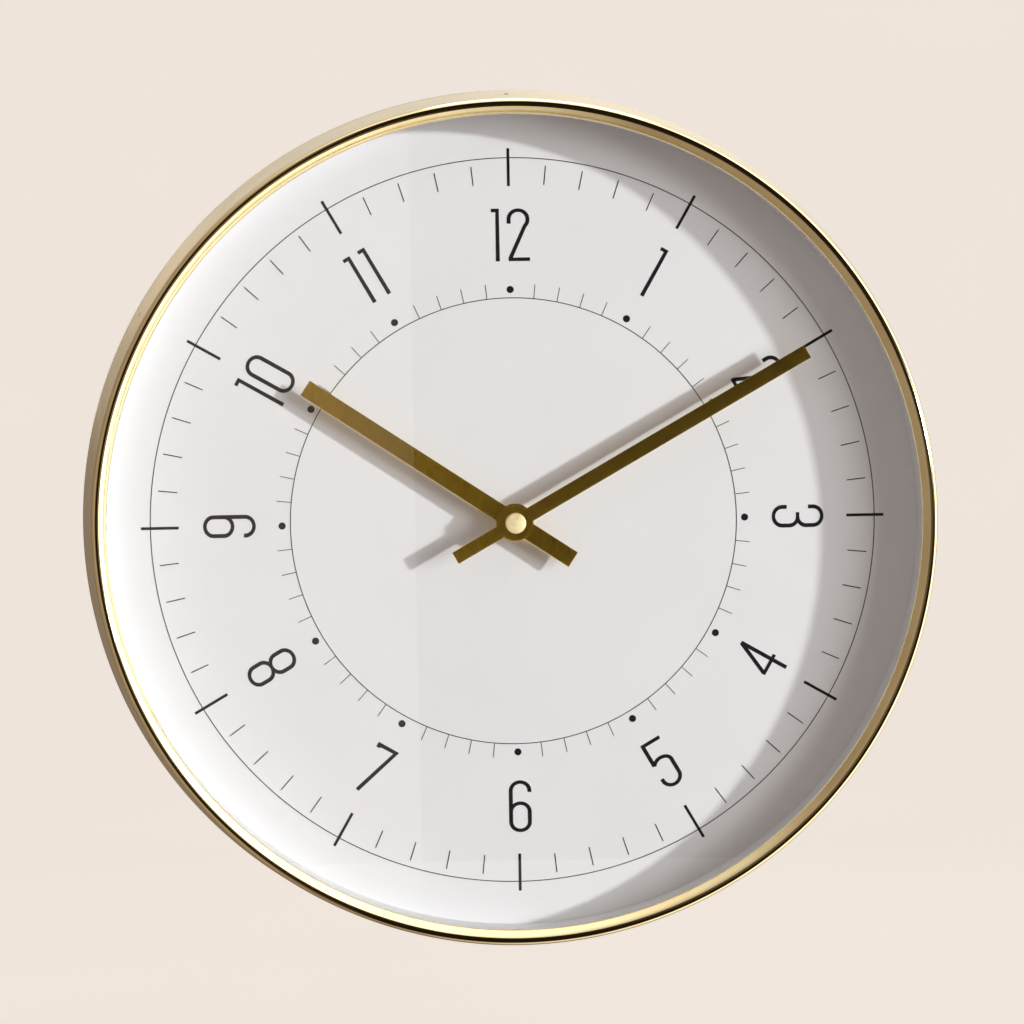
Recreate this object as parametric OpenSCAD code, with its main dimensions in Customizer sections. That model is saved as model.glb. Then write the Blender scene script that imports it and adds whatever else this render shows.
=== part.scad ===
// Round wall clock with a battery quartz movement, a printed dial, a flat
// glass and two hands. Units are millimetres and +Z is up.
// The clock faces -Y and its back lies against a wall on the +Y side.

/* [Case] */
// Widest outside diameter of the case, at the wall
case_d = 305; // [250:1:400]
// Depth of the case from the wall to the front of the lip
case_depth = 42; // [42:0.5:60]
// How much the side wall widens in radius from the lip to the wall
case_flare = 5.9; // [2:0.1:9]
// Radial width of the rounded front lip
lip_w = 5.2; // [4:0.1:8]
// Thickness of the side wall at the back
case_wall = 2.4; // [1.6:0.1:3.5]
// Number of screw bosses around the back
boss_count = 6; // [4:1:8]
// Diameter of one screw boss
boss_d = 6.4; // [5.5:0.1:7]

// Radial width of the back cover ring
cover_w = 37.2; // [34:0.1:60]

/* [Glass and dial] */
// Thickness of the flat glass
glass_t = 2; // [1.5:0.1:3]
// Height of the soft ring under the glass
gasket_t = 0.8; // [0.5:0.1:1.5]
// Distance of the dial below the front of the lip
lip_to_dial = 21.8; // [20:0.1:30]
// Thickness of the printed metal dial
dial_t = 0.8; // [0.5:0.1:1.2]
// Thickness of the board behind the dial
board_t = 2; // [1.5:0.1:3]
// How far the lip overhangs the white ring at the dial
ring_overhang = 1; // [0.4:0.1:2]
// Thickness of the printed ink
ink_t = 0.05; // [0.03:0.01:0.2]

/* [Dial print] */
// Distance of the minute circle from the edge of the visible dial
edge_gap = 15; // [8:0.1:30]
// Distance of the inner circle from the minute circle
circle_gap = 48.9; // [30:0.1:60]
// Distance of the minute ticks' outer ends from the minute circle
tick_gap = 2.3; // [0:0.1:6]
// Length of an hour bar
hour_bar_l = 13.2; // [8:0.1:16]
// Width of an hour bar
hour_bar_w = 1; // [0.6:0.05:2]
// Length of a minute tick
minute_tick_l = 6.7; // [4:0.1:9]
// Length of an inner tick
inner_tick_l = 5.1; // [3:0.1:7]
// Diameter of the dot at each hour
dot_d = 2.5; // [1.5:0.1:4]

/* [Hands] */
// Minute hand angle, clockwise from twelve
minute_rest = 60.6; // [0:0.1:360]
// Hour hand angle, clockwise from twelve
hour_rest = 303.7; // [0:0.1:360]
// Distance of the minute hand's tip from the minute circle
minute_tip_gap = 9.1; // [2:0.1:30]
// Distance of the hour hand's tip past the inner circle
hour_tip_past = 8.5; // [0:0.1:20]
// Length of the tail of both hands
tail_l = 24.3; // [8:0.1:40]
// Width of the minute hand
minute_w = 5; // [3:0.1:8]
// Width of the hour hand
hour_w = 6.1; // [3:0.1:9]
// Diameter of the round eye of the minute hand
minute_eye_d = 12.3; // [9:0.1:16]
// Diameter of the round eye of the hour hand
hour_eye_d = 13.2; // [9:0.1:16]
// Thickness of the sheet of both hands
hand_t = 0.7; // [0.4:0.05:1.2]
// Height of the hour hand above the dial
hour_lift = 5.6; // [5:0.1:8]
// Height of the minute hand above the hour hand
hand_gap = 3.4; // [3:0.1:6]
// Diameter of the cap over the hands
cap_d = 7.1; // [6:0.1:9]

/* [Movement] */
// Width and height of the square movement
movement_w = 56; // [56:0.5:62]
// Thickness of the movement housing, front to back
movement_t = 15.6; // [15.6:0.1:18]
// Wall thickness of the movement housing
housing_wall = 1.2; // [1:0.1:1.6]
// Outside diameter of the threaded bush
bush_d = 8; // [7.6:0.1:9.5]
// Outside diameter of the hour tube
hour_tube_d = 5; // [4.6:0.1:5.6]
// Diameter of the minute shaft
minute_shaft_d = 3.2; // [2.8:0.1:3.6]
// Diameter of the small wheel arbors
arbor_d = 1.2; // [0.9:0.05:1.4]
// Diameter of the setting arbor
set_arbor_d = 1.8; // [1.4:0.1:2.2]
// Diameter of the setting knob
knob_d = 14; // [11:0.5:15]
// Thickness of the soft washer behind the dial board
soft_washer_t = 0.8; // [0.5:0.1:1.2]

/* [Gears] */
// Pressure angle of all teeth
pressure_angle = 27; // [25:0.5:30]
// Tooth height above the pitch circle, in modules
addendum = 0.8; // [0.7:0.05:0.8]
// Tooth depth below the pitch circle, in modules
dedendum = 1; // [0.95:0.05:1.1]
// Play between two teeth, along the pitch circle, in modules
tooth_play = 0.2; // [0.1:0.02:0.3]
// Distance from the hands' axis to the setting arbor
motion_reach = 9.6; // [9.6:0.1:10]
// Distance from the hands' axis to the third wheel
third_reach = 9; // [8.6:0.1:9.4]

/* [Battery] */
// Diameter of the cell
cell_d = 14.5; // [14:0.1:14.5]
// Length of the cell with its button
cell_l = 50.5; // [49.5:0.1:50.5]

/* [Hanging] */
// Width of the hanger plate
hanger_w = 44; // [36:1:60]
// Height of the hanger plate
hanger_h = 22; // [20:1:26]
// Radius of the keyhole's round entry
keyhole_r = 4.5; // [4:0.1:5.5]
// Width of the keyhole's slot
keyhole_slot_w = 4.6; // [3.5:0.1:5.5]

/* [Fits] */
// Radial play of a turning shaft in its hole
running_play = 0.05; // [0.02:0.01:0.08]
// Radial play of a part that drops into place
seat_play = 0.3; // [0.1:0.05:0.5]
// Radial play of a screw or bush in its hole
screw_play = 0.1; // [0.05:0.05:0.3]

/* [Hidden] */
$fn = 96;
bite = 0.4;
loop_sides = 240;

// ---- Case radii ----
back_r = case_d / 2;
lip_r = back_r - case_flare;
lip_inner_r = lip_r - lip_w;
bead_r = lip_w / 2;
bead_z = case_depth - bead_r;
dial_r = lip_inner_r + ring_overhang;
seat_r = dial_r + 1.2;
glass_r = seat_r - seat_play;
under_lip_z = bead_z - 1;
wall_top_r = lip_r - 0.4;
wall_slope = (back_r - wall_top_r) / bead_z;
function outer_at(z) = back_r - wall_slope * z;

// ---- Printed circles and hands ----
minute_circle_r = dial_r - edge_gap;
inner_circle_r = minute_circle_r - circle_gap;
minute_l = minute_circle_r - minute_tip_gap;
hour_l = inner_circle_r + hour_tip_past;

// ---- Heights from the wall ----
dial_z = case_depth - lip_to_dial;
dial_back_z = dial_z - dial_t;
board_back_z = dial_back_z - board_t;
glass_back_z = under_lip_z - glass_t;
ring_top_z = glass_back_z - gasket_t;
skin_z = board_back_z - 2;
cover_back_z = 1.2;
cover_t = 2.2;
cover_front_z = cover_back_z + cover_t;
hour_hand_z = dial_z + hour_lift;
minute_hand_z = hour_hand_z + hand_t + hand_gap;
hands_top_z = minute_hand_z + hand_t;

// ---- Screws of the back ----
boss_r = boss_d / 2;
boss_reach = seat_r + 0.1 + boss_r;
screw_r = 1.4;
screw_head_r = 2.6;
screw_head_t = 0.9;
screw_end_z = skin_z - 3;

// ---- Back cover ----
cover_r = outer_at(cover_front_z) - case_wall - 0.4;
cover_inner_r = cover_r - cover_w;
press_ring_r = seat_r - 2.6;
hanger_y = (cover_inner_r + cover_r) / 2 + 0.6;
keyhole_y = hanger_y - 4;
slot_end_y = hanger_y + 4.5;
hanger_t = 1;
rivet_x = hanger_w / 2 - 5;
rivet_r = 1.4;

// ---- Heights inside the movement, counted from its back face ----
back_gap = board_back_z - soft_washer_t - movement_t;
layer = movement_t / 15.6;
function lev(h) = back_gap + h * layer;
front_z = lev(15.6);
front_inner_z = lev(14.4);
floor_z = lev(1.2);
split_z = lev(8);
plate_z = lev(7.2);
plate_t = lev(8.2) - plate_z;
half_w = movement_w / 2;
inner_half = half_w - housing_wall;
corner_cut = 2;
bay_y = -inner_half + cell_d + 0.5;
bay_wall_t = 1.2;
cell_r = cell_d / 2;
cell_y = -inner_half + cell_r + 0.25;
cell_z = front_inner_z - 0.15 - cell_r;

// ---- Shaft and tube radii ----
bush_r = bush_d / 2;
tube_r = hour_tube_d / 2;
shaft_r = minute_shaft_d / 2;
arbor_r = arbor_d / 2;
pivot_r = arbor_r + running_play;
set_r = set_arbor_d / 2;
knob_r = knob_d / 2;
pocket_r = knob_r + 0.7;
nut_z = dial_z + 0.5;
nut_t = 2.2;
bush_top_z = nut_z + nut_t + 0.7;
nut_across = bush_d + 2.6;
thread_r = shaft_r - 0.3;
cap_t = 2.8;

// ---- Wheels: teeth and modules ----
rotor_teeth = 8;
intermediate_teeth = 48;
intermediate_pinion = 8;
second_teeth = 40;
second_pinion = 8;
third_teeth = 60;
third_pinion = 8;
centre_teeth = 64;
cannon_teeth = 12;
motion_teeth = 36;
motion_pinion = 10;
hour_teeth = 40;
rotor_m = 0.22;
second_m = 0.3;
third_m = 2 * third_reach / (second_pinion + third_teeth);
centre_m = 2 * third_reach / (third_pinion + centre_teeth);
cannon_m = 2 * motion_reach / (cannon_teeth + motion_teeth);
hour_m = 2 * motion_reach / (motion_pinion + hour_teeth);

// ---- Wheel positions as seen from the front ----
motion_dir = 20;
third_dir = 90;
intermediate_dir = 200;
rotor_dir = 180;
intermediate_reach = second_m * (second_teeth + intermediate_pinion) / 2;
rotor_reach = rotor_m * (rotor_teeth + intermediate_teeth) / 2;
motion_at = motion_reach * [cos(motion_dir), sin(motion_dir)];
third_at = third_reach * [cos(third_dir), sin(third_dir)];
intermediate_at = intermediate_reach
    * [cos(intermediate_dir), sin(intermediate_dir)];
rotor_at = intermediate_at + rotor_reach * [cos(rotor_dir), sin(rotor_dir)];

// ---- Tooth phases that put every pair in mesh at rest ----
// Turn of a gear so that it meshes with one already placed.
// along is the direction from the placed gear to the new one.
function mesh_turn(along, teeth, turn, new_teeth) =
    along + 180 - 180 / new_teeth + (along - turn) * teeth / new_teeth;
second_turn = 0;
second_pinion_turn = 0;
intermediate_pinion_turn = mesh_turn(
    intermediate_dir, second_teeth, second_turn, intermediate_pinion);
intermediate_turn = 0;
rotor_turn = mesh_turn(
    rotor_dir, intermediate_teeth, intermediate_turn, rotor_teeth);
third_turn = mesh_turn(
    third_dir, second_pinion, second_pinion_turn, third_teeth);
third_pinion_turn = 0;
centre_turn = mesh_turn(
    third_dir + 180, third_pinion, third_pinion_turn, centre_teeth);
cannon_turn = 0;
motion_turn = mesh_turn(
    motion_dir, cannon_teeth, cannon_turn, motion_teeth);
motion_pinion_turn = 0;
hour_turn = mesh_turn(
    motion_dir + 180, motion_pinion, motion_pinion_turn, hour_teeth);

// ---- Coil and stator ----
coil_x = -inner_half + 5.2;
coil_low_y = 1;
coil_high_y = 19;
coil_flange_r = 4.2;
coil_tube_r = 2.4;
coil_flange_t = 1;
stator_z = lev(5.2);
stator_t = lev(6) - stator_z;
core_z = stator_z + stator_t;
core_t = 0.8;
core_w = 3.2;
coil_z = core_z + core_t / 2;
stator_hole_r = 3.6;
magnet_r = 3;

// ---- Placing ----
// Turns a part drawn on its back, wall side down, to face the viewer.
module upright() {
    translate([0, case_depth / 2, 0])
        rotate([90, 0, 0])
            children();
}

module disc(r, z0, z1) {
    translate([0, 0, z0])
        cylinder(r = r, h = z1 - z0);
}

module box(x0, x1, y0, y1, z0, z1) {
    translate([x0, y0, z0])
        cube([x1 - x0, y1 - y0, z1 - z0]);
}

// ---- Teeth ----
function involute_angle(r, base_r) =
    r <= base_r ? 0
    : let(a = acos(base_r / r)) tan(a) * 180 / PI - a;

function half_tooth(r, pitch_r, teeth, m) =
    90 / teeth - tooth_play * m / pitch_r * 45 / PI
    + involute_angle(pitch_r, pitch_r * cos(pressure_angle))
    - involute_angle(r, pitch_r * cos(pressure_angle));

module toothed(teeth, m, turn) {
    pitch_r = teeth * m / 2;
    root_r = pitch_r - dedendum * m;
    tip_r = pitch_r + addendum * m;
    radii = [root_r, pitch_r, tip_r, tip_r, pitch_r, root_r];
    polygon([
        for (i = [0 : teeth - 1])
            for (k = [0 : 5])
                let(
                    side = k < 3 ? -1 : 1,
                    r = radii[k],
                    a = turn + i * 360 / teeth
                        + side * half_tooth(r, pitch_r, teeth, m)
                )
                [r * cos(a), r * sin(a)]
    ]);
}

module gear(teeth, m, turn, z0, z1) {
    translate([0, 0, z0])
        linear_extrude(z1 - z0)
            toothed(teeth, m, turn);
}

// ---- Case ----
module boss_places() {
    for (i = [0 : boss_count - 1])
        rotate([0, 0, (i + 0.5) * 360 / boss_count])
            translate([boss_reach, 0, 0])
                children();
}

module case_shell() {
    color([0.80, 0.62, 0.32])
    upright()
    difference() {
        union() {
            rotate_extrude()
                difference() {
                    union() {
                        polygon([
                            [seat_r, skin_z],
                            [outer_at(skin_z) - case_wall, skin_z],
                            [outer_at(0) - case_wall, 0],
                            [outer_at(0) - 0.5, 0],
                            [outer_at(0.5), 0.5],
                            [wall_top_r, bead_z],
                            [seat_r, bead_z]
                        ]);
                        translate([lip_r - bead_r, bead_z])
                            circle(r = bead_r);
                    }
                    translate([lip_inner_r - 2, skin_z - 1])
                        square([seat_r - lip_inner_r + 2,
                                under_lip_z - skin_z + 1]);
                    polygon([
                        [seat_r + 1.8, skin_z - 1],
                        [seat_r + 1.8, skin_z + 0.5 * (bead_z - skin_z)],
                        [outer_at(skin_z) - case_wall - 0.2, skin_z],
                        [outer_at(skin_z) - case_wall - 0.2, skin_z - 1]
                    ]);
                }
            boss_places()
                disc(boss_r, cover_front_z, skin_z + 1);
        }
        boss_places()
            disc(screw_r + screw_play, cover_front_z - 1, screw_end_z + 1);
    }
}

// ---- Glass, ring and dial ----
module glass_lens() {
    color([0.9, 0.95, 0.95, 0.3])
    upright()
        disc(glass_r, glass_back_z, under_lip_z);
}

module glass_gasket() {
    color([0.9, 0.9, 0.88])
    upright()
    difference() {
        disc(glass_r, ring_top_z, glass_back_z);
        disc(dial_r - 0.3, ring_top_z - 1, glass_back_z + 1);
    }
}

module inner_ring() {
    color([0.93, 0.93, 0.92])
    upright()
        rotate_extrude()
            polygon([
                [dial_r, dial_z],
                [glass_r, dial_z],
                [glass_r, ring_top_z],
                [dial_r - 0.6, ring_top_z]
            ]);
}

module dial_plate() {
    color([0.94, 0.94, 0.95])
    upright()
    difference() {
        disc(glass_r, dial_back_z, dial_z);
        disc(bush_r + screw_play, dial_back_z - 1, dial_z + 1);
    }
}

module dial_board() {
    color([0.45, 0.43, 0.40])
    upright()
    difference() {
        disc(glass_r - 0.1, board_back_z, dial_back_z);
        disc(bush_r + screw_play, board_back_z - 1, dial_back_z + 1);
    }
}

// Corners of a fine many-sided loop of radius r.
function loop_points(r) = [for (i = [0 : loop_sides - 1])
    [r * cos(i * 360 / loop_sides), r * sin(i * 360 / loop_sides)]];

module ink_ring(r, w) {
    difference() {
        polygon(loop_points(r + w / 2));
        polygon(loop_points(r - w / 2));
    }
}

module ink_bar(a, r0, r1, w) {
    rotate(90 - a)
        translate([r0, -w / 2])
            square([r1 - r0, w]);
}

module dial_print() {
    bar_in_r = minute_circle_r - 0.75 * hour_bar_l;
    tick_in_r = minute_circle_r - tick_gap - minute_tick_l;
    color([0.1, 0.1, 0.1])
    upright()
    translate([0, 0, dial_z])
    linear_extrude(ink_t)
    union() {
        ink_ring(minute_circle_r, 0.32);
        ink_ring(inner_circle_r, 0.3);
        for (i = [0 : 59]) {
            if (i % 5 == 0)
                ink_bar(i * 6, bar_in_r, bar_in_r + hour_bar_l, hour_bar_w);
            else {
                ink_bar(i * 6, tick_in_r, tick_in_r + minute_tick_l, 0.37);
                ink_bar(i * 6, inner_circle_r, inner_circle_r
                    + inner_tick_l, 0.25);
            }
        }
        for (i = [0 : 11])
            rotate(90 - i * 30)
                translate([inner_circle_r + 2.9, 0])
                    circle(r = dot_d / 2);
    }
}

// ---- Back ----
module back_cover() {
    color([0.12, 0.12, 0.13])
    upright()
    difference() {
        union() {
            difference() {
                disc(cover_r, cover_back_z, cover_front_z);
                disc(cover_inner_r, cover_back_z - 1, cover_front_z + 1);
            }
            difference() {
                disc(press_ring_r, cover_front_z - bite, board_back_z);
                disc(press_ring_r - 2, cover_front_z - 1, board_back_z + 1);
            }
            difference() {
                disc(cover_inner_r + 2, cover_front_z - bite, board_back_z);
                disc(cover_inner_r, cover_front_z - 1, board_back_z + 1);
            }
        }
        boss_places()
            disc(screw_r + screw_play, cover_back_z - 1, cover_front_z + 1);
        box(-keyhole_r - 2, keyhole_r + 2, keyhole_y - keyhole_r - 1.5,
            slot_end_y + 4, cover_back_z - 1, cover_front_z + 1);
        for (x = [-rivet_x, rivet_x])
            translate([x, hanger_y, 0])
                disc(rivet_r + screw_play, cover_back_z - 1,
                    cover_front_z + 1);
    }
}

module cross_slot(r, z0, depth) {
    box(-r, r, -0.35, 0.35, z0 - 1, z0 + depth);
    box(-0.35, 0.35, -r, r, z0 - 1, z0 + depth);
}

module back_cover_screws() {
    color([0.70, 0.70, 0.72])
    upright()
    boss_places()
    difference() {
        union() {
            disc(screw_head_r, cover_back_z - screw_head_t, cover_back_z);
            disc(screw_r, cover_back_z - 0.2, screw_end_z);
        }
        cross_slot(1.5, cover_back_z - screw_head_t, 0.6);
    }
}

module hanger_plate() {
    color([0.72, 0.72, 0.74])
    upright()
    difference() {
        box(-hanger_w / 2, hanger_w / 2, hanger_y - hanger_h / 2,
            hanger_y + hanger_h / 2, cover_back_z - hanger_t, cover_back_z);
        translate([0, keyhole_y, 0])
            disc(keyhole_r, cover_back_z - 2, cover_back_z + 1);
        box(-keyhole_slot_w / 2, keyhole_slot_w / 2, keyhole_y,
            slot_end_y, cover_back_z - 2, cover_back_z + 1);
        translate([0, slot_end_y, 0])
            disc(keyhole_slot_w / 2 + 0.05, cover_back_z - 2,
                cover_back_z + 1);
        for (x = [-rivet_x, rivet_x])
            translate([x, hanger_y, 0]) {
                disc(rivet_r + screw_play, cover_back_z - 2,
                    cover_back_z + 1);
                translate([0, 0, cover_back_z - hanger_t])
                    cylinder(r1 = rivet_r + 0.8 + screw_play,
                        r2 = rivet_r + screw_play, h = 0.7);
            }
    }
}

module hanger_rivets() {
    color([0.78, 0.78, 0.80])
    upright()
    for (x = [-rivet_x, rivet_x])
        translate([x, hanger_y, 0]) {
            translate([0, 0, cover_back_z - hanger_t])
                cylinder(r1 = rivet_r + 0.8, r2 = rivet_r, h = 0.7);
            disc(rivet_r, cover_back_z - hanger_t + 0.5,
                cover_front_z + 0.5);
            disc(rivet_r + 1.2, cover_front_z, cover_front_z + 1);
        }
}

// ---- Dial fixing ----
module soft_washer() {
    color([0.1, 0.1, 0.1])
    upright()
    difference() {
        disc(bush_r + 4, front_z, board_back_z);
        disc(bush_r + screw_play, front_z - 1, board_back_z + 1);
    }
}

module dial_washer() {
    color([0.78, 0.62, 0.30])
    upright()
    difference() {
        disc(bush_r + 1.9, dial_z, nut_z);
        disc(bush_r + screw_play, dial_z - 1, nut_z + 1);
    }
}

module dial_nut() {
    color([0.80, 0.65, 0.32])
    upright()
    difference() {
        translate([0, 0, nut_z])
            linear_extrude(nut_t)
                circle(d = nut_across / cos(30), $fn = 6);
        disc(bush_r + 0.05, nut_z - 1, nut_z + nut_t + 1);
    }
}

// ---- Hands ----
module hand_outline(reach, tail, w, tail_w, eye_d) {
    translate([-w / 2, 0])
        square([w, reach]);
    translate([-tail_w / 2, -tail])
        square([tail_w, tail]);
    circle(d = eye_d);
}

module hour_hand() {
    color([0.62, 0.50, 0.22])
    upright()
    rotate([0, 0, -hour_rest])
    difference() {
        union() {
            translate([0, 0, hour_hand_z])
                linear_extrude(hand_t)
                    hand_outline(hour_l, tail_l, hour_w, hour_w,
                        hour_eye_d);
            disc(tube_r + 1.1, hour_hand_z - 1.4, hour_hand_z + bite);
        }
        disc(tube_r, hour_hand_z - 3, hour_hand_z + hand_t + 1);
    }
}

module minute_hand() {
    color([0.62, 0.50, 0.22])
    upright()
    rotate([0, 0, -minute_rest])
    difference() {
        union() {
            translate([0, 0, minute_hand_z])
                linear_extrude(hand_t)
                    hand_outline(minute_l, tail_l, minute_w,
                        minute_w - 0.5, minute_eye_d);
            disc(shaft_r + 1.1, minute_hand_z - 1.4, minute_hand_z + bite);
        }
        disc(shaft_r, minute_hand_z - 3, hands_top_z + 1);
    }
}

module hand_cap() {
    cap_r = cap_d / 2;
    color([0.92, 0.80, 0.52])
    upright()
    difference() {
        translate([0, 0, hands_top_z])
            rotate_extrude()
                intersection() {
                    square([cap_r, cap_t]);
                    translate([0, cap_t - 2.2 * cap_r])
                        circle(r = 2.2 * cap_r);
                }
        disc(thread_r, hands_top_z - 1, hands_top_z + cap_t - 0.9);
    }
}

// ---- Movement housing ----
module cut_square(half, cut) {
    polygon([
        [-half + cut, -half], [half - cut, -half],
        [half, -half + cut], [half, half - cut],
        [half - cut, half], [-half + cut, half],
        [-half, half - cut], [-half, -half + cut]
    ]);
}

module cut_block(half, z0, z1) {
    translate([0, 0, z0])
        linear_extrude(z1 - z0)
            cut_square(half, corner_cut * half / half_w);
}

module front_housing() {
    joint_half = inner_half + housing_wall / 2 - 0.05;
    color([0.13, 0.13, 0.14])
    upright()
    difference() {
        union() {
            cut_block(half_w, split_z, front_z);
            cut_block(joint_half, split_z - 1, split_z + bite);
            disc(bush_r, front_z - bite, bush_top_z);
        }
        cut_block(inner_half, split_z - 2, front_inner_z);
        disc(tube_r + running_play, front_inner_z - 1, bush_top_z + 1);
        translate(motion_at)
            disc(set_r + running_play, front_inner_z - 1,
                front_inner_z + 0.6);
    }
}

module post_places() {
    for (p = [[22, -8], [22, 15.5], [-9.5, 15.8], [-9.6, -8.8]])
        translate(p)
            children();
}

module board_post_places() {
    for (p = [[22, 24], [-4.5, 24]])
        translate(p)
            children();
}

module back_housing() {
    joint_half = inner_half + housing_wall / 2 + 0.05;
    wall_y = bay_y + bay_wall_t;
    color([0.15, 0.15, 0.16])
    upright()
    difference() {
        union() {
            difference() {
                cut_block(half_w, back_gap, split_z);
                cut_block(inner_half, floor_z, split_z + 1);
                cut_block(joint_half, split_z - 1, split_z + 1);
            }
            box(-inner_half + 0.05, inner_half - 0.05, bay_y, wall_y,
                back_gap + 0.5, front_inner_z - 0.1);
            box(-inner_half - 0.2, inner_half + 0.2, bay_y, wall_y,
                back_gap + 0.5, split_z - 1.2);
            post_places()
                disc(1.2, floor_z - bite, plate_z);
            board_post_places()
                disc(1.2, floor_z - bite, stator_z);
            disc(1.3, floor_z - bite, lev(2.8));
            translate(third_at)
                disc(1.3, floor_z - bite, lev(2.8));
            translate(intermediate_at)
                disc(1.3, floor_z - bite, lev(2.6));
            translate(rotor_at)
                disc(1.3, floor_z - bite, lev(2.4));
            translate(motion_at)
                disc(pocket_r + 1, floor_z - bite, lev(3.7));
        }
        intersection() {
            cut_block(inner_half, back_gap - 1, split_z + 1);
            box(-half_w, half_w, -half_w, bay_y,
                back_gap - 2, split_z + 2);
        }
        translate(motion_at) {
            disc(pocket_r, back_gap - 1, lev(2.5));
            disc(set_r + running_play, lev(2), lev(4));
        }
        for (p = [[0, 0], third_at, intermediate_at, rotor_at])
            translate(p)
                disc(pivot_r, lev(1.7), lev(3));
        for (x = [-inner_half, inner_half - 0.7])
            box(x, x + 0.7, bay_y - 1, wall_y + 1, lev(4), front_z);
    }
}

module mid_plate() {
    color([0.75, 0.74, 0.70])
    upright()
    difference() {
        box(-16.5, 24, bay_y + bay_wall_t + 0.3, 17.4,
            plate_z, plate_z + plate_t);
        for (p = [[0, 0], third_at, intermediate_at, rotor_at])
            translate(p)
                disc(pivot_r, plate_z - 1, plate_z + plate_t + 1);
        translate(motion_at)
            disc(set_r + running_play + 0.3, plate_z - 1,
                plate_z + plate_t + 1);
    }
}

// ---- Electrics ----
module circuit_board() {
    color([0.16, 0.36, 0.20])
    upright() {
        box(-8, 25, 18.4, inner_half - 0.4, stator_z, stator_z + 1);
        translate([4, 22.3, 0])
            disc(2.4, stator_z + 1 - bite, stator_z + 2);
    }
}

module quartz_crystal() {
    color([0.80, 0.80, 0.82])
    upright()
    translate([12, 22, stator_z + 2.05])
        rotate([0, 90, 0])
            cylinder(r = 1, h = 6.2);
}

module along_coil(y0, y1, r) {
    translate([coil_x, y1, coil_z])
        rotate([90, 0, 0])
            cylinder(r = r, h = y1 - y0);
}

module coil_bobbin() {
    color([0.86, 0.84, 0.78])
    upright()
    difference() {
        union() {
            along_coil(coil_low_y, coil_high_y, coil_tube_r);
            along_coil(coil_low_y, coil_low_y + coil_flange_t,
                coil_flange_r);
            along_coil(coil_high_y - coil_flange_t, coil_high_y,
                coil_flange_r);
        }
        box(coil_x - core_w / 2 - 0.05, coil_x + core_w / 2 + 0.05,
            coil_low_y - 1, coil_high_y + 1, core_z - 0.05,
            core_z + core_t + 0.05);
    }
}

module coil_winding() {
    color([0.72, 0.38, 0.20])
    upright()
    difference() {
        along_coil(coil_low_y + coil_flange_t + 0.05,
            coil_high_y - coil_flange_t - 0.05, coil_flange_r - 0.4);
        along_coil(coil_low_y, coil_high_y, coil_tube_r + 0.05);
    }
}

module coil_core() {
    color([0.58, 0.58, 0.60])
    upright()
        box(coil_x - core_w / 2, coil_x + core_w / 2,
            rotor_at[1] - 2, coil_high_y + 4, core_z, core_z + core_t);
}

module stator_plate() {
    leg_w = 4;
    color([0.62, 0.62, 0.64])
    upright()
    difference() {
        union() {
            translate(rotor_at)
                disc(stator_hole_r + 0.8, stator_z, stator_z + stator_t);
            box(coil_x - core_w / 2, rotor_at[0], rotor_at[1] - leg_w / 2,
                rotor_at[1] + leg_w / 2, stator_z, stator_z + stator_t);
            box(rotor_at[0] - leg_w / 2, rotor_at[0] + leg_w / 2,
                rotor_at[1], coil_high_y + 4, stator_z,
                stator_z + stator_t);
            box(coil_x - core_w / 2, rotor_at[0] + leg_w / 2,
                coil_high_y + 0.5, coil_high_y + 4, stator_z,
                stator_z + stator_t);
        }
        translate(rotor_at)
            disc(stator_hole_r, stator_z - 1, stator_z + stator_t + 1);
    }
}

// ---- Wheels that drive the hands ----
module rotor() {
    color([0.30, 0.30, 0.32])
    upright()
    translate(rotor_at) {
        gear(rotor_teeth, rotor_m, rotor_turn, lev(2.7), lev(4));
        disc(arbor_r, lev(1.75), lev(2.8));
        disc(arbor_r, lev(3.9), lev(4.5));
        disc(magnet_r, lev(4.4), lev(6.9));
        disc(arbor_r, lev(6.8), lev(8.1));
    }
}

module intermediate_wheel() {
    color([0.90, 0.88, 0.82])
    upright()
    translate(intermediate_at) {
        gear(intermediate_teeth, rotor_m, intermediate_turn,
            lev(2.9), lev(3.7));
        gear(intermediate_pinion, second_m, intermediate_pinion_turn,
            lev(5.7), lev(6.9));
        disc(arbor_r, lev(1.75), lev(8.1));
    }
}

module second_wheel() {
    color([0.88, 0.86, 0.78])
    upright() {
        gear(second_pinion, third_m, second_pinion_turn, lev(4), lev(5.95));
        gear(second_teeth, second_m, second_turn, lev(5.9), lev(6.7));
        disc(arbor_r, lev(1.75), lev(11));
    }
}

module third_wheel() {
    color([0.90, 0.88, 0.82])
    upright()
    translate(third_at) {
        gear(third_teeth, third_m, third_turn, lev(4.4), lev(5.2));
        gear(third_pinion, centre_m, third_pinion_turn, lev(8.6), lev(10));
        disc(arbor_r, lev(1.75), lev(9));
    }
}

module centre_wheel() {
    color([0.85, 0.70, 0.36])
    upright()
    difference() {
        gear(centre_teeth, centre_m, centre_turn, lev(8.9), lev(9.7));
        disc(shaft_r + running_play, lev(8), lev(10));
        for (i = [0 : 4])
            rotate([0, 0, i * 72 + 36])
                translate([5.2, 0, 0])
                    disc(1.4, lev(8), lev(10));
    }
}

module clutch_spring() {
    color([0.76, 0.76, 0.78])
    upright()
    difference() {
        disc(shaft_r + 1.6, lev(9.7), lev(10.05));
        disc(shaft_r + running_play, lev(9), lev(11));
    }
}

module minute_shaft() {
    color([0.86, 0.70, 0.36])
    upright()
    difference() {
        union() {
            disc(shaft_r, lev(8.3), hands_top_z);
            disc(thread_r, hands_top_z - bite, hands_top_z + cap_t - 1);
            disc(shaft_r + 1.8, lev(10.1), lev(10.9));
            gear(cannon_teeth, cannon_m, cannon_turn, lev(11.4), lev(12.8));
        }
        disc(pivot_r, lev(8), lev(11.5));
    }
}

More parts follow.
